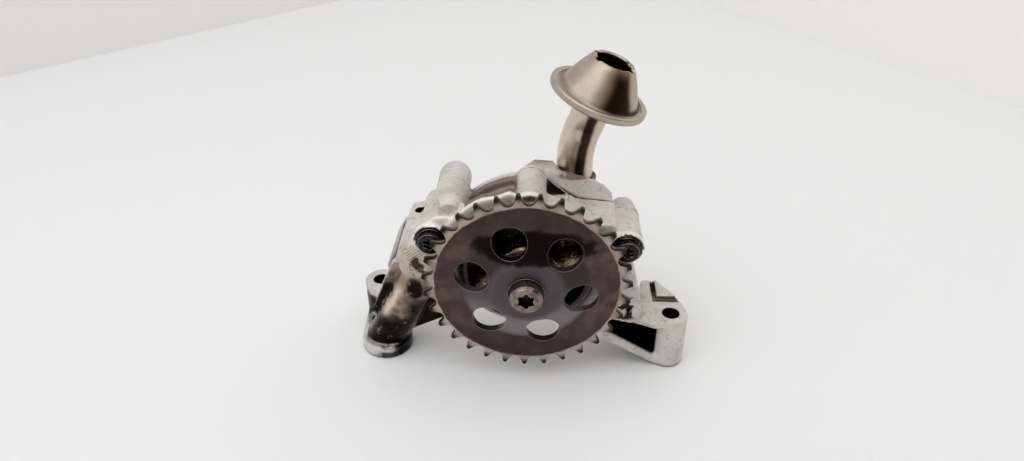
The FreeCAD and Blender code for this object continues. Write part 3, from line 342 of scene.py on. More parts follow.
def leg_oil_and_painted_light(f):
    """The outlet leg: a mask of brown varnish all over it, one of a painted highlight along its duct's ridge,
    and one of black, which is oil with painted shade, on its foot, on the boss, between boss and duct, on the
    web, and at the pad's lower right."""
    ragged = f.waver(230.0, 4.0, 0.003)
    across = f.x - (DUCT_TOP_X + (f.z - DUCT_TOP_Z) * DUCT_SLOPE)
    front = f.step(f.y, 25.0 * MM, 22.0 * MM)
    inner_side = f.step(f.x + f.step(f.z, -12.0 * MM, -22.0 * MM) * -6.0 * MM, -38.0 * MM, -42.0 * MM)
    outer_side = f.step(f.x, -71.5 * MM, -70.0 * MM)
    leg = inner_side * outer_side * front * f.step(f.z + ragged, -3.0 * MM, -9.5 * MM)

    # The pad under the foot stays bare but for one drip
    pad = f.step(f.z, -44.4 * MM, -43.2 * MM)
    drip = f.step(f.x + ragged * 2.0, -59.0 * MM, -56.0 * MM)
    kept = f.most(pad, drip)

    left = f.step(across + ragged, -8.6 * MM, -9.8 * MM) * f.step(f.z + ragged, -12.5 * MM, -17.0 * MM)
    web = f.step(f.x + ragged, -51.0 * MM, -47.5 * MM) * f.step(f.z + ragged, -16.0 * MM, -22.0 * MM)
    foot = f.step(f.z + ragged * 2.0 - across * 0.25, -25.5 * MM, -31.0 * MM)
    spot = f.blot(DUCT_SPOT, 0.4) * f.clouds(150.0, 3.0, 0.2, 0.36)
    boss = (
        f.band(f.z + ragged * 1.5, -44.2 * MM, -33.0 * MM, 1.2 * MM)
        * f.step(f.x, -58.0 * MM, -60.0 * MM)
        * f.step(f.y + (f.x - LEFT_BOLT[0]) * 0.4, 37.0 * MM, 34.0 * MM)
        * f.step(f.x + f.y * 0.5, -60.5 * MM, -57.5 * MM)
    )
    lip = (
        f.step(f.z + ragged, -45.8 * MM, -47.2 * MM)
        * f.step(f.x + ragged * 2.0, -66.5 * MM, -62.5 * MM)
        * f.step(f.x, -48.0 * MM, -50.0 * MM)
        * front * 0.9
    )
    # Black of oil with painted shade
    black = f.most(leg * f.most(left, web, foot, spot) * kept, boss, lip)
    # Painted highlight along the duct's ridge
    ridge_highlight = (
        f.band(across + ragged, -8.2 * MM, -5.6 * MM, 1.5 * MM)
        * f.band(f.z, -29.0 * MM, -14.0 * MM, 3.0 * MM)
        * f.step(f.x, -46.0 * MM, -49.0 * MM)
    )
    return leg * kept, leg * ridge_highlight, black


def inside_hole(f, hole):
    """1 in an upright hole, below its mouth."""
    x, y, radius, mouth = hole
    across, along = f.x - x, f.y - y
    away = f.maths("SQRT", across * across + along * along)
    return f.step(away, radius + 0.5 * MM, radius) * f.step(f.z, mouth + 0.1 * MM, mouth - 0.5 * MM)


def painted_hollow_shade(f):
    """Mask of the painted black shade in the right leg's pocket, beside the pickup pad, in the grooves and in
    the holes, and of a darker patch between the ribs."""
    ribs = f.blot(RIB_DARK_PATCH) * f.clouds(210.0, 3.0, 0.47, 0.53)
    grooves = f.most(f.box(LONG_GROOVE), f.box(CROSS_GROOVE))
    holes = inside_hole(f, LEFT_BOLT) + inside_hole(f, RIGHT_BOLT) + inside_hole(f, SHELF_HOLE)
    return f.most(f.box(LEG_POCKET), f.box(PAD_WEDGE), ribs, grooves * 0.9, holes)


def sand_skin(f):
    """Colour of the bare casting, with clouds, specks, and painted shade with grime in its corners and
    creases, and the mask of the specks.
    """
    color = f.mix(f.clouds(90.0, 4.0, 0.4, 0.72) * 0.6, srgb(212, 206, 200), srgb(176, 168, 160))
    color = f.mix(f.clouds(380.0, 4.0, 0.56, 0.7) * 0.35, color, srgb(122, 108, 96))
    dots = f.most(f.specks(420.0, 0.17) * f.clouds(120.0, 2.0, 0.5, 0.64), f.specks(900.0, 0.2) * 0.6)
    color = f.mix(dots * 0.7, color, srgb(62, 50, 44))
    # Painted shade with grime, darkest where other faces stand close: in corners and in creases
    corner_shade_and_grime = f.step(f.open_air(5.0 * MM) + f.waver(300.0, 3.0, 0.25), 0.74, 0.40)
    color = f.mix(corner_shade_and_grime * 0.6, color, srgb(82, 66, 54))
    crease_shade_and_grime = f.step(f.open_air(1.5 * MM) + f.waver(500.0, 3.0, 0.3), 0.72, 0.5)
    return f.mix(crease_shade_and_grime * 0.85, color, srgb(52, 38, 30)), dots


def top_recess(f, away):
    """1 in the brown crescent between the relief boss and the top boss."""
    return (
        f.step(f.x, -3.5 * MM, -5.5 * MM)
        * f.step(f.x, -31.5 * MM, -29.0 * MM)
        * f.step(f.z + f.x * 0.30, 14.0 * MM, 18.0 * MM)
        * f.step(away, 30.5 * MM, 31.5 * MM)
        * f.band(f.y, 9.6 * MM, 26.9 * MM, 0.4 * MM)
        * f.step(f.axis_distance(RELIEF_AT), 7.0 * MM, 7.6 * MM)
    )


def cast_aluminium():
    """Matt sand-cast skin: specks, grey-brown clouds, and painted shade with grime in the corners and
    creases. Black of oil with painted shade behind the wheel and on the outlet leg, painted black shade in
    the hollows, painted wet glints, a painted highlight on the outlet duct's ridge and painted light on the
    front edge round the wheel."""
    f = Finish("cast_aluminium")
    color, dots = sand_skin(f)
    away = f.axis_distance(SHAFT)

    # Painted light on the front edge round the wheel, where the wheel shades it; brown crescent, file marks
    # by the left screw, stain at the tube's foot
    edge = f.band(f.y, 7.2 * MM, 9.7 * MM, 0.4 * MM) * f.step(away, 34.0 * MM, 36.5 * MM)
    color = f.mix(edge * f.step(f.z, -4.0 * MM, 2.0 * MM) * 0.7, color, srgb(246, 238, 230))
    brown = f.mix(f.clouds(90.0, 4.0, 0.4, 0.72), srgb(116, 98, 88), srgb(92, 75, 67))
    color = f.mix(top_recess(f, away) * 0.9, color, brown)
    color = f.mix(f.blot(BEIGE_PATCH, 0.6) * 0.55, color, srgb(196, 174, 146))
    lines = f.step(f.maths("SINE", (f.x * 0.62 - f.z * 0.78) * 5600.0), 0.2, 0.9)
    filed = f.blot(FILE_MARKS) * (0.1 + lines * f.clouds(230.0, 3.0, 0.38, 0.56) * 0.55)
    color = f.mix(filed, color, srgb(92, 66, 44))
    tube_foot = f.blot(TUBE_FOOT_STAIN, 0.5) * f.clouds(240.0, 3.0, 0.28, 0.45)
    color = f.mix(tube_foot * 0.8, color, srgb(84, 60, 44))
    # Under the lip, above the duct: a stain with painted shade
    stain = f.blot(LIP_SHADE_AND_STAIN) * f.clouds(280.0, 4.0, 0.42, 0.58)
    color = f.mix(stain * 0.9, color, srgb(46, 29, 18))

    # Outlet leg: brown varnish, black of oil with painted shade, and a painted highlight on its duct's ridge
    varnish, ridge_highlight, black = leg_oil_and_painted_light(f)
    mottled = f.clouds(190.0, 4.0, 0.36, 0.64)
    color = f.mix(varnish * 0.9, color, f.mix(mottled, srgb(140, 115, 92), srgb(46, 30, 22)))
    color = f.mix(ridge_highlight * 0.95, color, srgb(222, 204, 184))

    # Nearly black: oil, with painted shade behind the wheel, on the leg and in the hollows; the mask oil
    # holds them all. Pale streaks on it, and the spots seen through the wheel's holes, are painted wet
    # glints.
    behind = f.step(away, 30.5 * MM, 26.0 * MM) * f.step(f.y, 12.0 * MM, 10.0 * MM)
    oil = f.most(black, stain * 0.6, behind, painted_hollow_shade(f))
    glint_spots = f.most(*[f.blot(place, 0.8) for place in GLINT_PLACES])
    painted_glints = f.most(
        f.clouds(260.0, 3.0, 0.6, 0.7) * f.most(black, behind) * 0.5,
        glint_spots * (0.35 + f.clouds(340.0, 4.0, 0.42, 0.6) * 0.6),
    )
    film = f.mix(f.clouds(150.0, 4.0, 0.3, 0.62), srgb(8, 6, 5), srgb(26, 17, 12))
    color = f.mix(oil * 0.98, color, f.mix(painted_glints, film, srgb(160, 136, 116)))
    pits = f.noise(1300.0, 3.0) * 0.6 + f.noise(420.0, 2.0) * 0.8 - dots * 0.9
    return f.wear(
        Base_Color=color,
        Metallic=0.3 + oil * 0.7,
        Specular_IOR_Level=0.45,
        Roughness=0.58 - oil * 0.36 - varnish * 0.14 - f.noise(700.0, 2.0) * 0.12,
        Normal=f.relief(pits, 0.22 * MM),
    )


def sprocket_steel():
    """Blackened steel: dark brown ring with a painted darker reflection at its top and bottom, grey web with
    painted shade above, painted black shade between the top holes and a painted reflection below, pale worn
    teeth with painted shade on the walls of their gaps."""
    f = Finish("sprocket_steel")
    soft = f.soft_edges(0.3 * MM)
    away = f.axis_distance(SHAFT)
    patches = f.clouds(140.0, 4.0, 0.36, 0.7)
    color = f.mix(patches, srgb(64, 48, 45), srgb(88, 73, 67))
    # Painted darker reflection towards the ring's top and bottom
    far = f.step(f.maths("ABSOLUTE", f.z), 12.0 * MM, 30.0 * MM)
    color = f.mix(far * 0.6, color, srgb(38, 27, 25))
    web = f.band(away, 6.0 * MM, 25.6 * MM, 0.5 * MM)
    color = f.mix(web * 0.85, color, srgb(80, 72, 75))
    # Painted shade on the upper web
    shade = f.band(away, 15.0 * MM, 25.6 * MM, 1.5 * MM) * f.step(f.z, -2.0 * MM, 4.0 * MM)
    color = f.mix(shade * 0.75, color, srgb(34, 22, 23))
    # Painted reflection on the lower web
    lower_web_reflection = f.band(away, 14.5 * MM, 24.5 * MM, 1.6 * MM) * f.step(f.z, -2.0 * MM, -14.0 * MM)
    color = f.mix(lower_web_reflection * 0.6, color, srgb(140, 130, 132))
    # Painted black shade between the top holes
    black = f.blot(WHEEL_TOP_SHADE, 0.25)
    color = f.mix(black * 0.95, color, srgb(22, 14, 13))
    rim = f.step(away + f.waver(300.0, 2.0, 0.0012), 36.1 * MM, 36.8 * MM)
    color = f.mix(rim * 0.9, color, f.mix(patches, srgb(182, 165, 151), srgb(146, 126, 113)))
    color = f.mix(f.worn_edges(soft) * 0.75, color, srgb(186, 174, 164))
    # Painted shade on the walls of the tooth gaps
    tooth_gap_shade = f.step(away, 35.6 * MM, 36.2 * MM) * f.band(f.y, -1.32 * MM, 1.35 * MM, 0.12 * MM)
    color = f.mix(tooth_gap_shade * (0.55 + f.step(f.y, 0.4 * MM, -0.2 * MM) * 0.42), color, srgb(26, 17, 14))
    color = f.mix(f.specks(500.0, 0.12) * 0.5, color, srgb(24, 18, 17))
    turned = f.maths("SINE", away * 5200.0)
    return f.wear(
        Base_Color=color,
        Metallic=0.35 + rim * 0.35 + black * 0.6,
        Specular_IOR_Level=0.3,
        Roughness=0.36 + f.noise(220.0, 3.0) * 0.16 - lower_web_reflection * 0.1,
        Normal=f.relief(f.noise(1500.0, 2.0) + turned * 0.15, 0.06 * MM, soft),
    )


def dark_screw(name, axis, tint, gloss, socket_at=1.0):
    """Blackened fastener under a film of oil, with the rings that turning left round its axis. Its socket is
    painted black, as shade, behind Y = socket_at."""
    f = Finish(name)
    soft = f.soft_edges(0.35 * MM)
    away = f.axis_distance(axis)
    film = f.clouds(500.0, 3.0, 0.4, 0.68)
    color = f.mix(film * 0.55, tint, srgb(54, 42, 35))
    color = f.mix(f.worn_edges(soft) * 0.7, color, srgb(196, 188, 180))
    # Socket painted black as shade
    bore = f.step(away, 4.0 * MM, 3.7 * MM) * f.step(f.y, socket_at, socket_at + 0.6 * MM)
    color = f.mix(bore * 0.95, color, srgb(10, 7, 7))
    rings = f.maths("SINE", away * 7000.0)
    return f.wear(
        Base_Color=color,
        Metallic=0.92,
        Roughness=gloss + film * 0.14,
        Coat_Weight=film * 0.25,
        Normal=f.relief(rings * 0.5 + f.noise(900.0, 2.0), 0.06 * MM, soft),
    )


def turned_steel(name, tint, roughness, lines):
    """Turned or ground metal: fine lines round the shaft, a few soft stains."""
    f = Finish(name)
    cut = f.noise(lines, 2.0, stretch=(0.04, 1.0, 0.04))
    stain = f.clouds(180.0, 3.0, 0.5, 0.8)
    return f.wear(
        Base_Color=f.mix(stain * 0.4, tint, darker(tint, 0.45)),
        Metallic=1.0,
        Roughness=roughness + cut * 0.12,
        Normal=f.relief(cut, 0.03 * MM, f.soft_edges(0.3 * MM)),
    )


def sintered_steel():
    """Pressed powder steel: even grey grain with open pores."""
    f = Finish("sintered_steel")
    grain = f.noise(2600.0, 2.0)
    pores = f.specks(2200.0, 0.22)
    return f.wear(
        Base_Color=f.mix(pores * 0.6, srgb(126, 122, 118), srgb(62, 58, 54)),
        Metallic=0.9,
        Roughness=0.38 + grain * 0.2,
        Normal=f.relief(grain - pores, 0.04 * MM, f.soft_edges(0.3 * MM)),
    )


def plated_steel(name, tint, dark, grime):
    """Bright zinc plate dulled by oil, with darker patches and small scratches."""
    f = Finish(name)
    patch = f.clouds(140.0, 4.0, 0.42, 0.72)
    scratch = f.step(f.noise(900.0, 2.0, stretch=(1.0, 1.0, 0.08)), 0.62, 0.72)
    color = f.mix(patch * grime, tint, dark)
    color = f.mix(scratch * 0.3, color, srgb(210, 204, 196))
    return f.wear(
        Base_Color=color,
        Metallic=1.0,
        Roughness=0.24 + patch * 0.16,
        Normal=f.relief(f.noise(1200.0, 2.0) + scratch * 0.5, 0.04 * MM, f.soft_edges(0.35 * MM)),
    )


def seal_rubber():
    """Black rubber with a dry bloom."""
    f = Finish("seal_rubber")
    bloom = f.clouds(600.0, 3.0, 0.5, 0.75)
    return f.wear(
        Base_Color=f.mix(bloom * 0.5, srgb(22, 22, 23), srgb(58, 56, 54)),
        Roughness=0.55 + bloom * 0.25,
        Normal=f.relief(f.noise(2500.0), 0.03 * MM),
    )


def oiled_tube():
    """Plated tube: warm grey on the left, a painted black-brown reflection down the middle of its front, pale
    on the right, varnish at its foot. The tube's points carry side, -1 left to 1 right, front, 1 towards the
    wheel, and along, the travel."""
    f = Finish("oiled_tube")
    side, front, along = f.mark("side"), f.mark("front"), f.mark("along")
    ragged = f.waver(110.0, 2.0, 0.18)
    shift = side + ragged + f.step(along, 28.0 * MM, 46.0 * MM) * 0.16
    faces_front = f.step(front, -0.05, 0.25)
    # Painted dark reflection down the middle of the front
    dark_reflection_band = f.step(shift, -0.12, 0.06) * f.step(shift, 0.62, 0.4) * faces_front
    low = f.step(along + ragged * 0.02, 14.6 * MM, 12.2 * MM)
    color = f.mix(f.clouds(160.0, 3.0, 0.4, 0.7) * 0.3, srgb(226, 210, 194), srgb(190, 170, 150))
    color = f.mix(f.step(side, -0.7, -0.1) * faces_front * 0.35, color, srgb(170, 148, 120))
    color = f.mix(dark_reflection_band * 0.96, color, srgb(30, 18, 13))
    color = f.mix(low * 0.75, color, srgb(70, 50, 38))
    drawn = f.noise(1400.0, 2.0, stretch=(1.0, 1.0, 0.12))
    return f.wear(
        Base_Color=color,
        Metallic=1.0,
        Roughness=0.27 + f.noise(500.0, 3.0) * 0.12 + low * 0.1,
        Normal=f.relief(drawn, 0.03 * MM),
    )


def pressed_steel():
    """Drawn steel of the bell: a brown oil film with a painted reflection, going over right of the middle
    into a painted black-brown reflection band, painted shade in the groove at the cone's foot, painted black
    shade within the mouth, faint rings of the press tool. The bell's points carry side and front as the
    tube's do, reach, the radius, and inside, 1 within the cone."""
    f = Finish("pressed_steel")
    side, front, reach, inside = f.mark("side"), f.mark("front"), f.mark("reach"), f.mark("inside")
    edge = side + f.waver(90.0, 2.0, 0.14)
    cone = f.step(reach, 16.6 * MM, 16.0 * MM)
    faces_front = f.step(front, -0.1, 0.3)
    # Brown oil film with a painted reflection, right of the middle on the front
    warm = f.step(edge, -0.5, 0.12) * faces_front * f.step(side, 0.8, 0.6) * cone
    spread = f.step(reach, 12.0 * MM, 15.8 * MM) * 0.1
    # Painted black-brown reflection band right of the middle
    dark = f.step(edge, -0.04 - spread, 0.26 - spread) * f.step(edge, 0.7 + spread, 0.54 + spread)
    dark = dark * faces_front * f.step(reach, 8.8 * MM, 11.2 * MM) * cone
    # Painted shade in the groove at the cone's foot, deepest on the right
    groove = f.band(reach, 15.9 * MM, 17.2 * MM, 0.4 * MM) * (0.35 + f.step(side, -0.3, 0.3) * 0.6)
    color = f.mix(f.clouds(120.0, 3.0, 0.4, 0.7) * 0.4, srgb(186, 174, 159), srgb(158, 140, 120))
    color = f.mix(warm * 0.9, color, srgb(118, 90, 62))
    color = f.mix(dark * 0.94, color, srgb(34, 21, 13))
    color = f.mix(groove, color, srgb(44, 31, 25))
    # Painted black shade within the mouth
    color = f.mix(inside, color, srgb(16, 12, 10))
    drawn = f.noise(700.0, 2.0) * 0.5 + f.maths("SINE", reach * 5200.0) * 0.2
    return f.wear(
        Base_Color=color,
        Metallic=1.0,
        Roughness=0.36 + f.noise(320.0, 3.0) * 0.12 + inside * 0.4,
        Normal=f.relief(drawn, 0.04 * MM),
    )


def finish_node(node, material):
    """Give a solid's own object this finish."""
    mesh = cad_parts[node].data
    if not mesh.materials:
        mesh.materials.append(material)
    for k in range(len(mesh.materials)):
        mesh.materials[k] = material


# Surfaces
def grid_piece(name, points, material, marks=None, ends=False):
    """A piece on the casting's body from a grid of points (rows, columns, 3). Its columns close on
    themselves. So do its rows, unless it has ends: then a flat face closes each."""
    rows, columns = points.shape[:2]
    index = np.arange(rows * columns).reshape(rows, columns)
    across = np.roll(index, -1, axis=1)
    faces = np.stack([index, across, np.roll(across, -1, axis=0), np.roll(index, -1, axis=0)], axis=-1)
    polygons = faces[:rows - 1 if ends else rows].reshape(-1, 4).tolist()
    if ends:
        polygons += [index[0, ::-1].tolist(), index[-1].tolist()]
    mesh = bpy.data.meshes.new(name)
    mesh.from_pydata(points.reshape(-1, 3).tolist(), [], polygons)
    for key, values in (marks or {}).items():
        layer = mesh.attributes.new(key, "FLOAT", "POINT")
        layer.data.foreach_set("value", np.ascontiguousarray(values, dtype=np.float32).ravel())
    mesh.shade_smooth()
    mesh.set_sharp_from_angle(angle=SHARP_ANGLE)
    mesh.materials.append(material)
    piece = bpy.data.objects.new(name, mesh)
    bpy.context.scene.collection.objects.link(piece)
    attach(piece, "casting")
    return piece


def rounded(profile):
    """Closed profile with its corners cut, round after round: each puts two points on a side, a quarter of it
    from its ends."""
    for _ in range(CORNER_ROUNDS):
        following = np.roll(profile, -1, axis=0)
        near, far = 0.75 * profile + 0.25 * following, 0.25 * profile + 0.75 * following
        profile = np.stack([near, far], axis=1).reshape(-1, profile.shape[1])
    return profile


def round_angles(count):
    """Angles of this many columns, evenly round a circle."""
    return np.linspace(0.0, 2.0 * math.pi, count, endpoint=False)


BELL_ANGLES = round_angles(BELL_COLUMNS)


def turned_on_bell(profile):
    """Surface of a closed profile of radius r and height h, turned by the angle a about the bell's axis:
    x = r cos a, y = r sin a and z = h, leaned to the right by TUBE_LEAN and set on BELL_CENTRE.
    profile is (rows, 2), or (rows, columns, 2) where it changes with the angle."""
    if profile.ndim == 2:
        profile = np.repeat(profile[:, None, :], BELL_COLUMNS, axis=1)
    radius, height = profile[..., 0], profile[..., 1]
    x, y = radius * np.cos(BELL_ANGLES), radius * np.sin(BELL_ANGLES)
    lean_x = x * math.cos(TUBE_LEAN) + height * math.sin(TUBE_LEAN)
    lean_z = -x * math.sin(TUBE_LEAN) + height * math.cos(TUBE_LEAN)
    points = np.stack([lean_x, y, lean_z], axis=-1) + BELL_CENTRE
    side = np.broadcast_to(np.cos(BELL_ANGLES), radius.shape)
    front = np.broadcast_to(-np.sin(BELL_ANGLES), radius.shape)
    return points, {"side": side, "front": front, "reach": radius}


def bell_piece(name, node, points, marks, material):
    """One of the bell's two sheets, in place of its solid, with its rows turned round to face outwards."""
    marks = {key: values[::-1] for key, values in marks.items()}
    piece = grid_piece(name, points[::-1], material, marks)
    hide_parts(node)


def notch_window():
    """1 at the mouth's four notches and 0 between them: 1 / (1 + exp(k (d - w))) of the angle d from the
    nearest one, with w a notch's half width and k its steepness."""
    angle = np.degrees(BELL_ANGLES)
    away = np.min([np.abs((angle - centre + 180.0) % 360.0 - 180.0) for centre in NOTCH_ANGLES], axis=0)
    return 1.0 / (1.0 + np.exp((away - NOTCH_HALF_WIDTH) * NOTCH_STEEPNESS))


def make_bell_cone(material):
    """Drawn cone: rim flange, straight side, rounded shoulder, and a mouth turned in with four notches. Its
    profile goes over from the plain mouth to the cut back one with the notches' window."""
    rim, foot, shoulder, mouth, top = np.array([
        BELL_RIM_R, BELL_CONE_R, BELL_SHOULDER_R, BELL_MOUTH_R, BELL_H - MOUTH_DROP,
    ]) / MM
    outside = [
        (rim - 1.6, 0.1), (rim - 1.4, 0.95), (foot + 1.6, 1.0), (foot + 0.2, 1.5), (foot - 0.5, 2.8),
        (13.1, 8.4), (shoulder + 0.7, top - 3.4), (shoulder - 0.4, top - 1.5), (mouth + 1.5, top - 0.3),
    ]
    lip = [(mouth + 1.2, top), (mouth + 0.1, top - 0.1), (mouth - 0.2, top - 0.8)]
    notch = [(mouth + 2.1, top - 0.6), (mouth + 1.7, top - 0.8), (mouth + 1.6, top - 1.3)]
    within = [
        (mouth + 1.2, top - 1.7), (shoulder - 1.4, top - 2.6), (shoulder - 0.4, top - 4.2), (12.1, 8.0),
        (foot - 1.6, 2.4), (foot - 1.0, 0.2),
    ]
    plain = rounded(np.array(outside + lip + within) * MM)
    cut = rounded(np.array(outside + notch + within) * MM)
    window = notch_window()[None, :, None]
    points, marks = turned_on_bell(plain[:, None, :] * (1.0 - window) + cut[:, None, :] * window)
    rows, columns = points.shape[:2]
    shown = rows * (len(outside) + LIP_CORNERS_SHOWN) / len(outside + lip + within)
    # Rows past the lip's shown corners are marked inside, which the finish paints black as shade
    marks["inside"] = np.repeat((np.arange(rows) > shown).astype(float)[:, None], columns, axis=1)
    bell_piece("drawn_cone", "bell_cone", points, marks, material)


def make_bell_base(material):
    """Dished plate under the bell, its rim rolled up round the cone's edge with a groove inside the roll."""
    rim, foot, neck = np.array([BELL_RIM_R, BELL_CONE_R, TUBE_R + 0.05 * MM]) / MM
    profile = np.array([
        (neck, -5.0), (neck + 1.0, -5.0), (neck + 1.0, -3.6), (neck + 2.0, -3.1), (foot, -2.6),
        (rim - 0.9, -1.6), (rim - 0.05, -0.9), (rim, 0.3), (rim, 1.2), (rim - 0.6, 1.75), (rim - 1.7, 1.75),
        (rim - 2.5, 1.45), (rim - 2.6, 1.05), (rim - 1.4, 1.0), (rim - 1.3, 0.0), (rim - 1.6, -0.6),
        (foot - 1.0, -1.6), (neck, -2.4),
    ]) * MM
    points, marks = turned_on_bell(rounded(profile))
    marks["inside"] = np.zeros(points.shape[:2])
    bell_piece("rolled_plate", "bell_base", points, marks, material)


def tube_line(travel):
    """Centre line of the pickup tube after this travel: straight up, one arc to the right, straight on.
    Gives x, z, the angle that the line has turned, and its whole length."""
    high = BELL_CENTRE - TUBE_END_BELOW * np.array([math.sin(TUBE_LEAN), 0.0, math.cos(TUBE_LEAN)])
    straight = (high[0] - PICKUP_AT[0] - TUBE_BEND_R * (1 - math.cos(TUBE_LEAN))) / math.sin(TUBE_LEAN)
    bend_z = high[2] - TUBE_BEND_R * math.sin(TUBE_LEAN) - straight * math.cos(TUBE_LEAN)
    upright = bend_z - (PAD_Z - SPIGOT)
    curved = TUBE_BEND_R * TUBE_LEAN
    turn = np.clip(travel - upright, 0.0, curved) / TUBE_BEND_R
    last = np.maximum(travel - upright - curved, 0.0)
    x = PICKUP_AT[0] + TUBE_BEND_R * (1 - np.cos(turn)) + last * math.sin(TUBE_LEAN)
    z = PAD_Z - SPIGOT + np.minimum(travel, upright) + TUBE_BEND_R * np.sin(turn)
    z = z + last * math.cos(TUBE_LEAN)
    return x, z, turn, upright + curved + straight


def make_tube(material):
    """Bent tube: a circle carried along the tube's line, outside and back along the inside. Both radii are
    less by the dent, its depth times exp(-(s / length)^2 - (b / spread)^2), with s the travel and b the angle
    from the dent's middle."""
    total = tube_line(np.zeros(1))[3]
    travel = np.linspace(0.0, total, TUBE_ROWS)
    angle = round_angles(TUBE_COLUMNS)
    off_side = np.abs(np.angle(np.exp(1j * (angle - DENT_ANGLE))))[None, :]
    off_middle = (travel - (total - DENT_BELOW_END))[:, None]
    dent = np.exp(-((off_middle / DENT_LENGTH) ** 2) - (off_side / DENT_SPREAD) ** 2) * DENT_DEPTH
    radius = np.concatenate([TUBE_R - dent, (TUBE_R - TUBE_WALL - dent)[::-1]])
    path = np.concatenate([travel, travel[::-1]])
    x, z, turn, _ = tube_line(path)
    across = radius * np.cos(angle)
    points = np.stack([
        x[:, None] + across * np.cos(turn)[:, None],
        PICKUP_AT[1] + radius * np.sin(angle),
        z[:, None] - across * np.sin(turn)[:, None],
    ], axis=-1)
    marks = {
        "side": np.broadcast_to(np.cos(angle), radius.shape),
        "front": np.broadcast_to(-np.sin(angle), radius.shape),
        "along": np.broadcast_to(path[:, None], radius.shape),
    }
    piece = grid_piece("bent_tube", points, material, marks)
    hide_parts("pickup_tube")


def make_valve_spring(material):
    """Relief spring: x = cx + r cos t, z = cz + r sin t, with t along the wire and r = R + w cos a round it,
    and y = y0 + pitch t / 2 pi + w sin a."""
    along = np.linspace(0.0, 2.0 * math.pi * SPRING_TURNS, WIRE_ROWS_PER_TURN * SPRING_TURNS + 1)[:, None]
    ring = round_angles(WIRE_COLUMNS)[None, :]
    out = SPRING_R + SPRING_WIRE_R * np.cos(ring)
    rise = SPRING_Y[0] + (SPRING_Y[1] - SPRING_Y[0]) * along / along[-1]
    points = np.stack([
        RELIEF_AT[0] + out * np.cos(along),
        rise + SPRING_WIRE_R * np.sin(ring),
        RELIEF_AT[1] + out * np.sin(along),
    ], axis=-1)
    piece = grid_piece("valve_spring", points, material, ends=True)
    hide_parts("relief_spring")
    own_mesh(piece)


# Cast skins: the same solids with the rounded edges and corners that sand casting leaves
def relax(points, ends):
    """Points drawn to the mean of their neighbours and pushed back a little more, round after round.
    This rounds edges and corners without shrinking the piece."""
    count = len(points)
    degree = np.bincount(ends.ravel(), minlength=count)[:, None]
    for _ in range(RELAX_ROUNDS):
        for pull in RELAX_PULLS:
            total = np.stack([
                np.bincount(ends[:, 0], points[ends[:, 1], axis], count)
                + np.bincount(ends[:, 1], points[ends[:, 0], axis], count) for axis in range(3)], axis=1)
            points = points + (total / degree - points) * pull
    return points


def true_bore(points):
    """Points of the relief bore's wall put back on its radius, so that the piston slides freely."""
    across = points[:, [0, 2]] - np.array(RELIEF_AT)
    away = np.hypot(across[:, 0], across[:, 1])
    near = away < RELIEF_BORE_R + RELIEF_BORE_MARGIN
    wall_points = near & (points[:, 1] > RELIEF_BORE_Y[0]) & (points[:, 1] < RELIEF_BORE_Y[1])
    scale = np.where(wall_points, RELIEF_BORE_R / np.maximum(away, SAME_POINT), 1.0)[:, None]
    points[:, [0, 2]] = np.array(RELIEF_AT) + across * scale
    return points


def even_mesh(piece, cell):
    """Mesh of a piece over an even grid of small cells."""
    work = bmesh.new()
    work.from_mesh(piece.data)
    bmesh.ops.remove_doubles(work, verts=work.verts, dist=SAME_POINT)
    work.to_mesh(piece.data)
    work.free()
    remesh = piece.modifiers.new("even", "REMESH")
    remesh.mode = "VOXEL"
    remesh.voxel_size = cell
    evened = piece.evaluated_get(bpy.context.evaluated_depsgraph_get())
    mesh = bpy.data.meshes.new_from_object(evened)
    piece.modifiers.clear()
    return mesh


def make_cast_skin(node, name, material, cell):
    """Rounded copy of a casting: its faces are made even and then relaxed."""
    skin = bpy.data.objects.new(name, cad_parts[node].data.copy())
    bpy.context.scene.collection.objects.link(skin)
    mesh = even_mesh(skin, cell)
    points = np.empty(len(mesh.vertices) * 3)
    mesh.vertices.foreach_get("co", points)
    ends = np.empty(len(mesh.edges) * 2, dtype=np.int32)
    mesh.edges.foreach_get("vertices", ends)
    relaxed = true_bore(relax(points.reshape(-1, 3), ends.reshape(-1, 2)))
    mesh.vertices.foreach_set("co", relaxed.ravel())
    mesh.materials.clear()
    mesh.materials.append(material)
    mesh.shade_smooth()
    skin.data = mesh
    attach(skin, "casting")
    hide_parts(node)


# Build
ground = turned_steel("ground_steel", srgb(190, 188, 184), 0.16, 3000.0)
bronze = turned_steel("bearing_bronze", srgb(190, 142, 84), 0.28, 2200.0)
sintered = sintered_steel()
FINISHES = {
    "drive_sprocket": sprocket_steel(),
    "sprocket_collar": dark_screw("collar_steel", SHAFT, srgb(36, 28, 26), 0.3),
    "sprocket_bolt": dark_screw("bolt_steel", SHAFT, srgb(138, 124, 114), 0.14, BOLT_FRONT_Y + 0.3 * MM),
    "left_cover_screw": dark_screw("left_screw_steel", LEFT_SCREW, srgb(34, 33, 36), 0.2),
    "right_cover_screw": dark_screw("right_screw_steel", RIGHT_SCREW, srgb(34, 33, 36), 0.2),
    "top_cover_screw": dark_screw("top_screw_steel", TOP_SCREW, srgb(226, 220, 214), 0.35),
    "drive_shaft": ground,
    "relief_piston": ground,
    "front_bush": bronze,
    "rear_bush": bronze,
    "inner_rotor": sintered,
    "outer_rotor": sintered,
    "pickup_flange": plated_steel("flange_plate", srgb(170, 156, 140), srgb(66, 46, 34), 0.9),
    "pickup_bolt": plated_steel("hex_bolt_plate", srgb(192, 186, 180), srgb(74, 64, 58), 0.7),
    "pickup_seal": seal_rubber(),
    "strainer": plated_steel("strainer_steel", srgb(120, 110, 98), srgb(60, 50, 42), 0.8),
}
for solid, finish in FINISHES.items():
    finish_node(solid, finish)
make_valve_spring(turned_steel("spring_steel", srgb(120, 116, 112), 0.25, 1800.0))
casting = cast_aluminium()
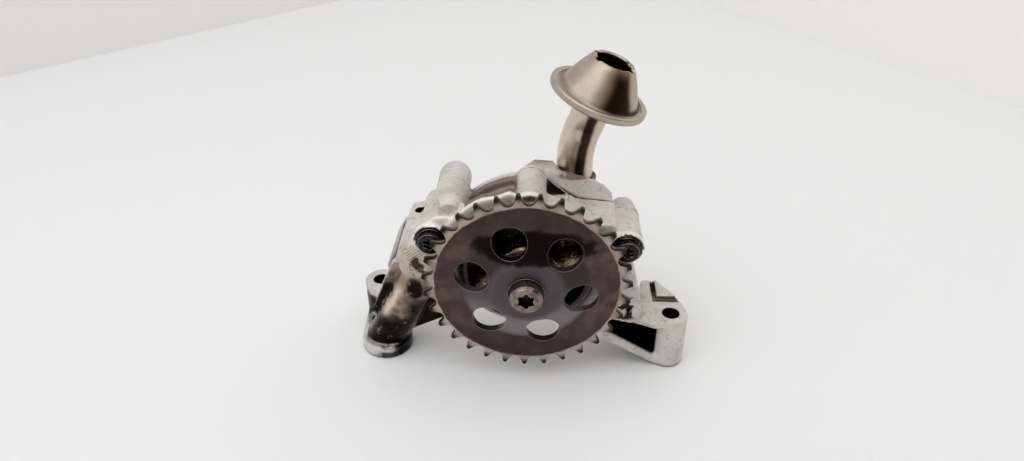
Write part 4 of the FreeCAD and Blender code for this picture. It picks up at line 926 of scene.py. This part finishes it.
make_cast_skin("pump_body", "cast_housing", casting, HOUSING_CELL)
make_cast_skin("rear_cover", "cast_cover", casting, COVER_CELL)
bell_steel = pressed_steel()
make_bell_cone(bell_steel)
make_bell_base(bell_steel)
make_tube(oiled_tube())


# Stage: a pale table with two pale walls behind, as in the photograph
def stage_sheet(name, corners, color):
    """Flat backdrop through four corners."""
    f = Finish(name)
    color = f.mix(f.noise(3.0, 2.0) * 0.1, color, darker(color, 0.97))
    mesh = bpy.data.meshes.new(name)
    mesh.from_pydata(corners, [], [(0, 1, 2, 3)])
    mesh.materials.append(f.wear(Base_Color=color, Roughness=0.9, Specular_IOR_Level=0.1))
    sheet = bpy.data.objects.new(name, mesh)
    bpy.context.scene.collection.objects.link(sheet)


def wall(name, start, end, color):
    """Upright sheet over the line on the table from start to end, carried on past both."""
    a, b = np.array(start), np.array(end)
    reach = (b - a) / np.linalg.norm(b - a) * WALL_OVERLAP
    low, high = FLOOR_Z, FLOOR_Z + WALL_HEIGHT
    (ax, ay), (bx, by) = (a - reach).tolist(), (b + reach).tolist()
    stage_sheet(name, [(ax, ay, low), (bx, by, low), (bx, by, high), (ax, ay, high)], color)


quarters = ((-1, -1), (1, -1), (1, 1), (-1, 1))
stage_sheet("table", [(x * TABLE_REACH, y * TABLE_REACH, FLOOR_Z) for x, y in quarters], srgb(235, 235, 235))
wall("left_wall", *LEFT_WALL, srgb(242, 240, 239))
wall("right_wall", *RIGHT_WALL, srgb(244, 243, 241))


# Light: a pale room with a dark side, and two soft lamps above, on the left and on the right
def make_world():
    """Even white surroundings with a dark side to the right, which light and reflections show. The camera
    sees a plain pale backdrop past the walls."""
    world = bpy.data.worlds.new("room")
    bpy.context.scene.world = world
    world.use_nodes = True
    tree = Tree(world.node_tree)
    way = tree.node("ShaderNodeTexCoord", out="Generated")
    stops = [(0.72, (1.0, 1.0, 1.0, 1.0)), (0.9, (0.06, 0.045, 0.035, 1.0))]
    paint = tree.node("ShaderNodeValToRGB", {"stops": stops}, {0: tree.dot(way, DARK_SIDE)})
    room = tree.node("ShaderNodeBackground", sockets={"Color": paint, "Strength": ROOM_STRENGTH})
    plain = tree.node("ShaderNodeBackground", sockets={"Color": BACKDROP})
    seen = tree.node("ShaderNodeLightPath", out="Is Camera Ray")
    both = tree.node("ShaderNodeMixShader", sockets={0: seen, 1: room, 2: plain})
    tree.node("ShaderNodeOutputWorld", sockets={"Surface": both}, out=None)


def looking(at, back):
    """Matrix of a lamp or camera at a point whose back points this way, with its sides level."""
    back = Vector(back).normalized()
    side = Vector((0.0, 0.0, 1.0)).cross(back).normalized()
    up = back.cross(side)
    return Matrix.Translation(at) @ Matrix((side, up, back)).transposed().to_4x4()


def soft_lamp(name, at, size, watts):
    """Square lamp at a point, with sides of this size, that faces the origin."""
    data = bpy.data.lights.new(name, "AREA")
    data.shape = "SQUARE"
    data.size = size
    data.energy = watts
    lamp = bpy.data.objects.new(name, data)
    bpy.context.scene.collection.objects.link(lamp)
    lamp.matrix_world = looking(at, at)


make_world()
soft_lamp("key", (-0.40, -0.30, 0.85), size=1.1, watts=4.4)
soft_lamp("fill", (0.30, -0.05, 0.95), size=0.8, watts=1.7)

# Camera
camera_data = bpy.data.cameras.new("camera")
camera_data.lens = 28.828
camera_data.sensor_width = 36.0
camera_data.clip_start = 0.01
camera_data.clip_end = 10.0
camera = bpy.data.objects.new("camera", camera_data)
bpy.context.scene.collection.objects.link(camera)
camera.matrix_world = looking(CAMERA_AT, CAMERA_BACK)
bpy.context.scene.camera = camera
bpy.context.scene.view_settings.view_transform = "Standard"
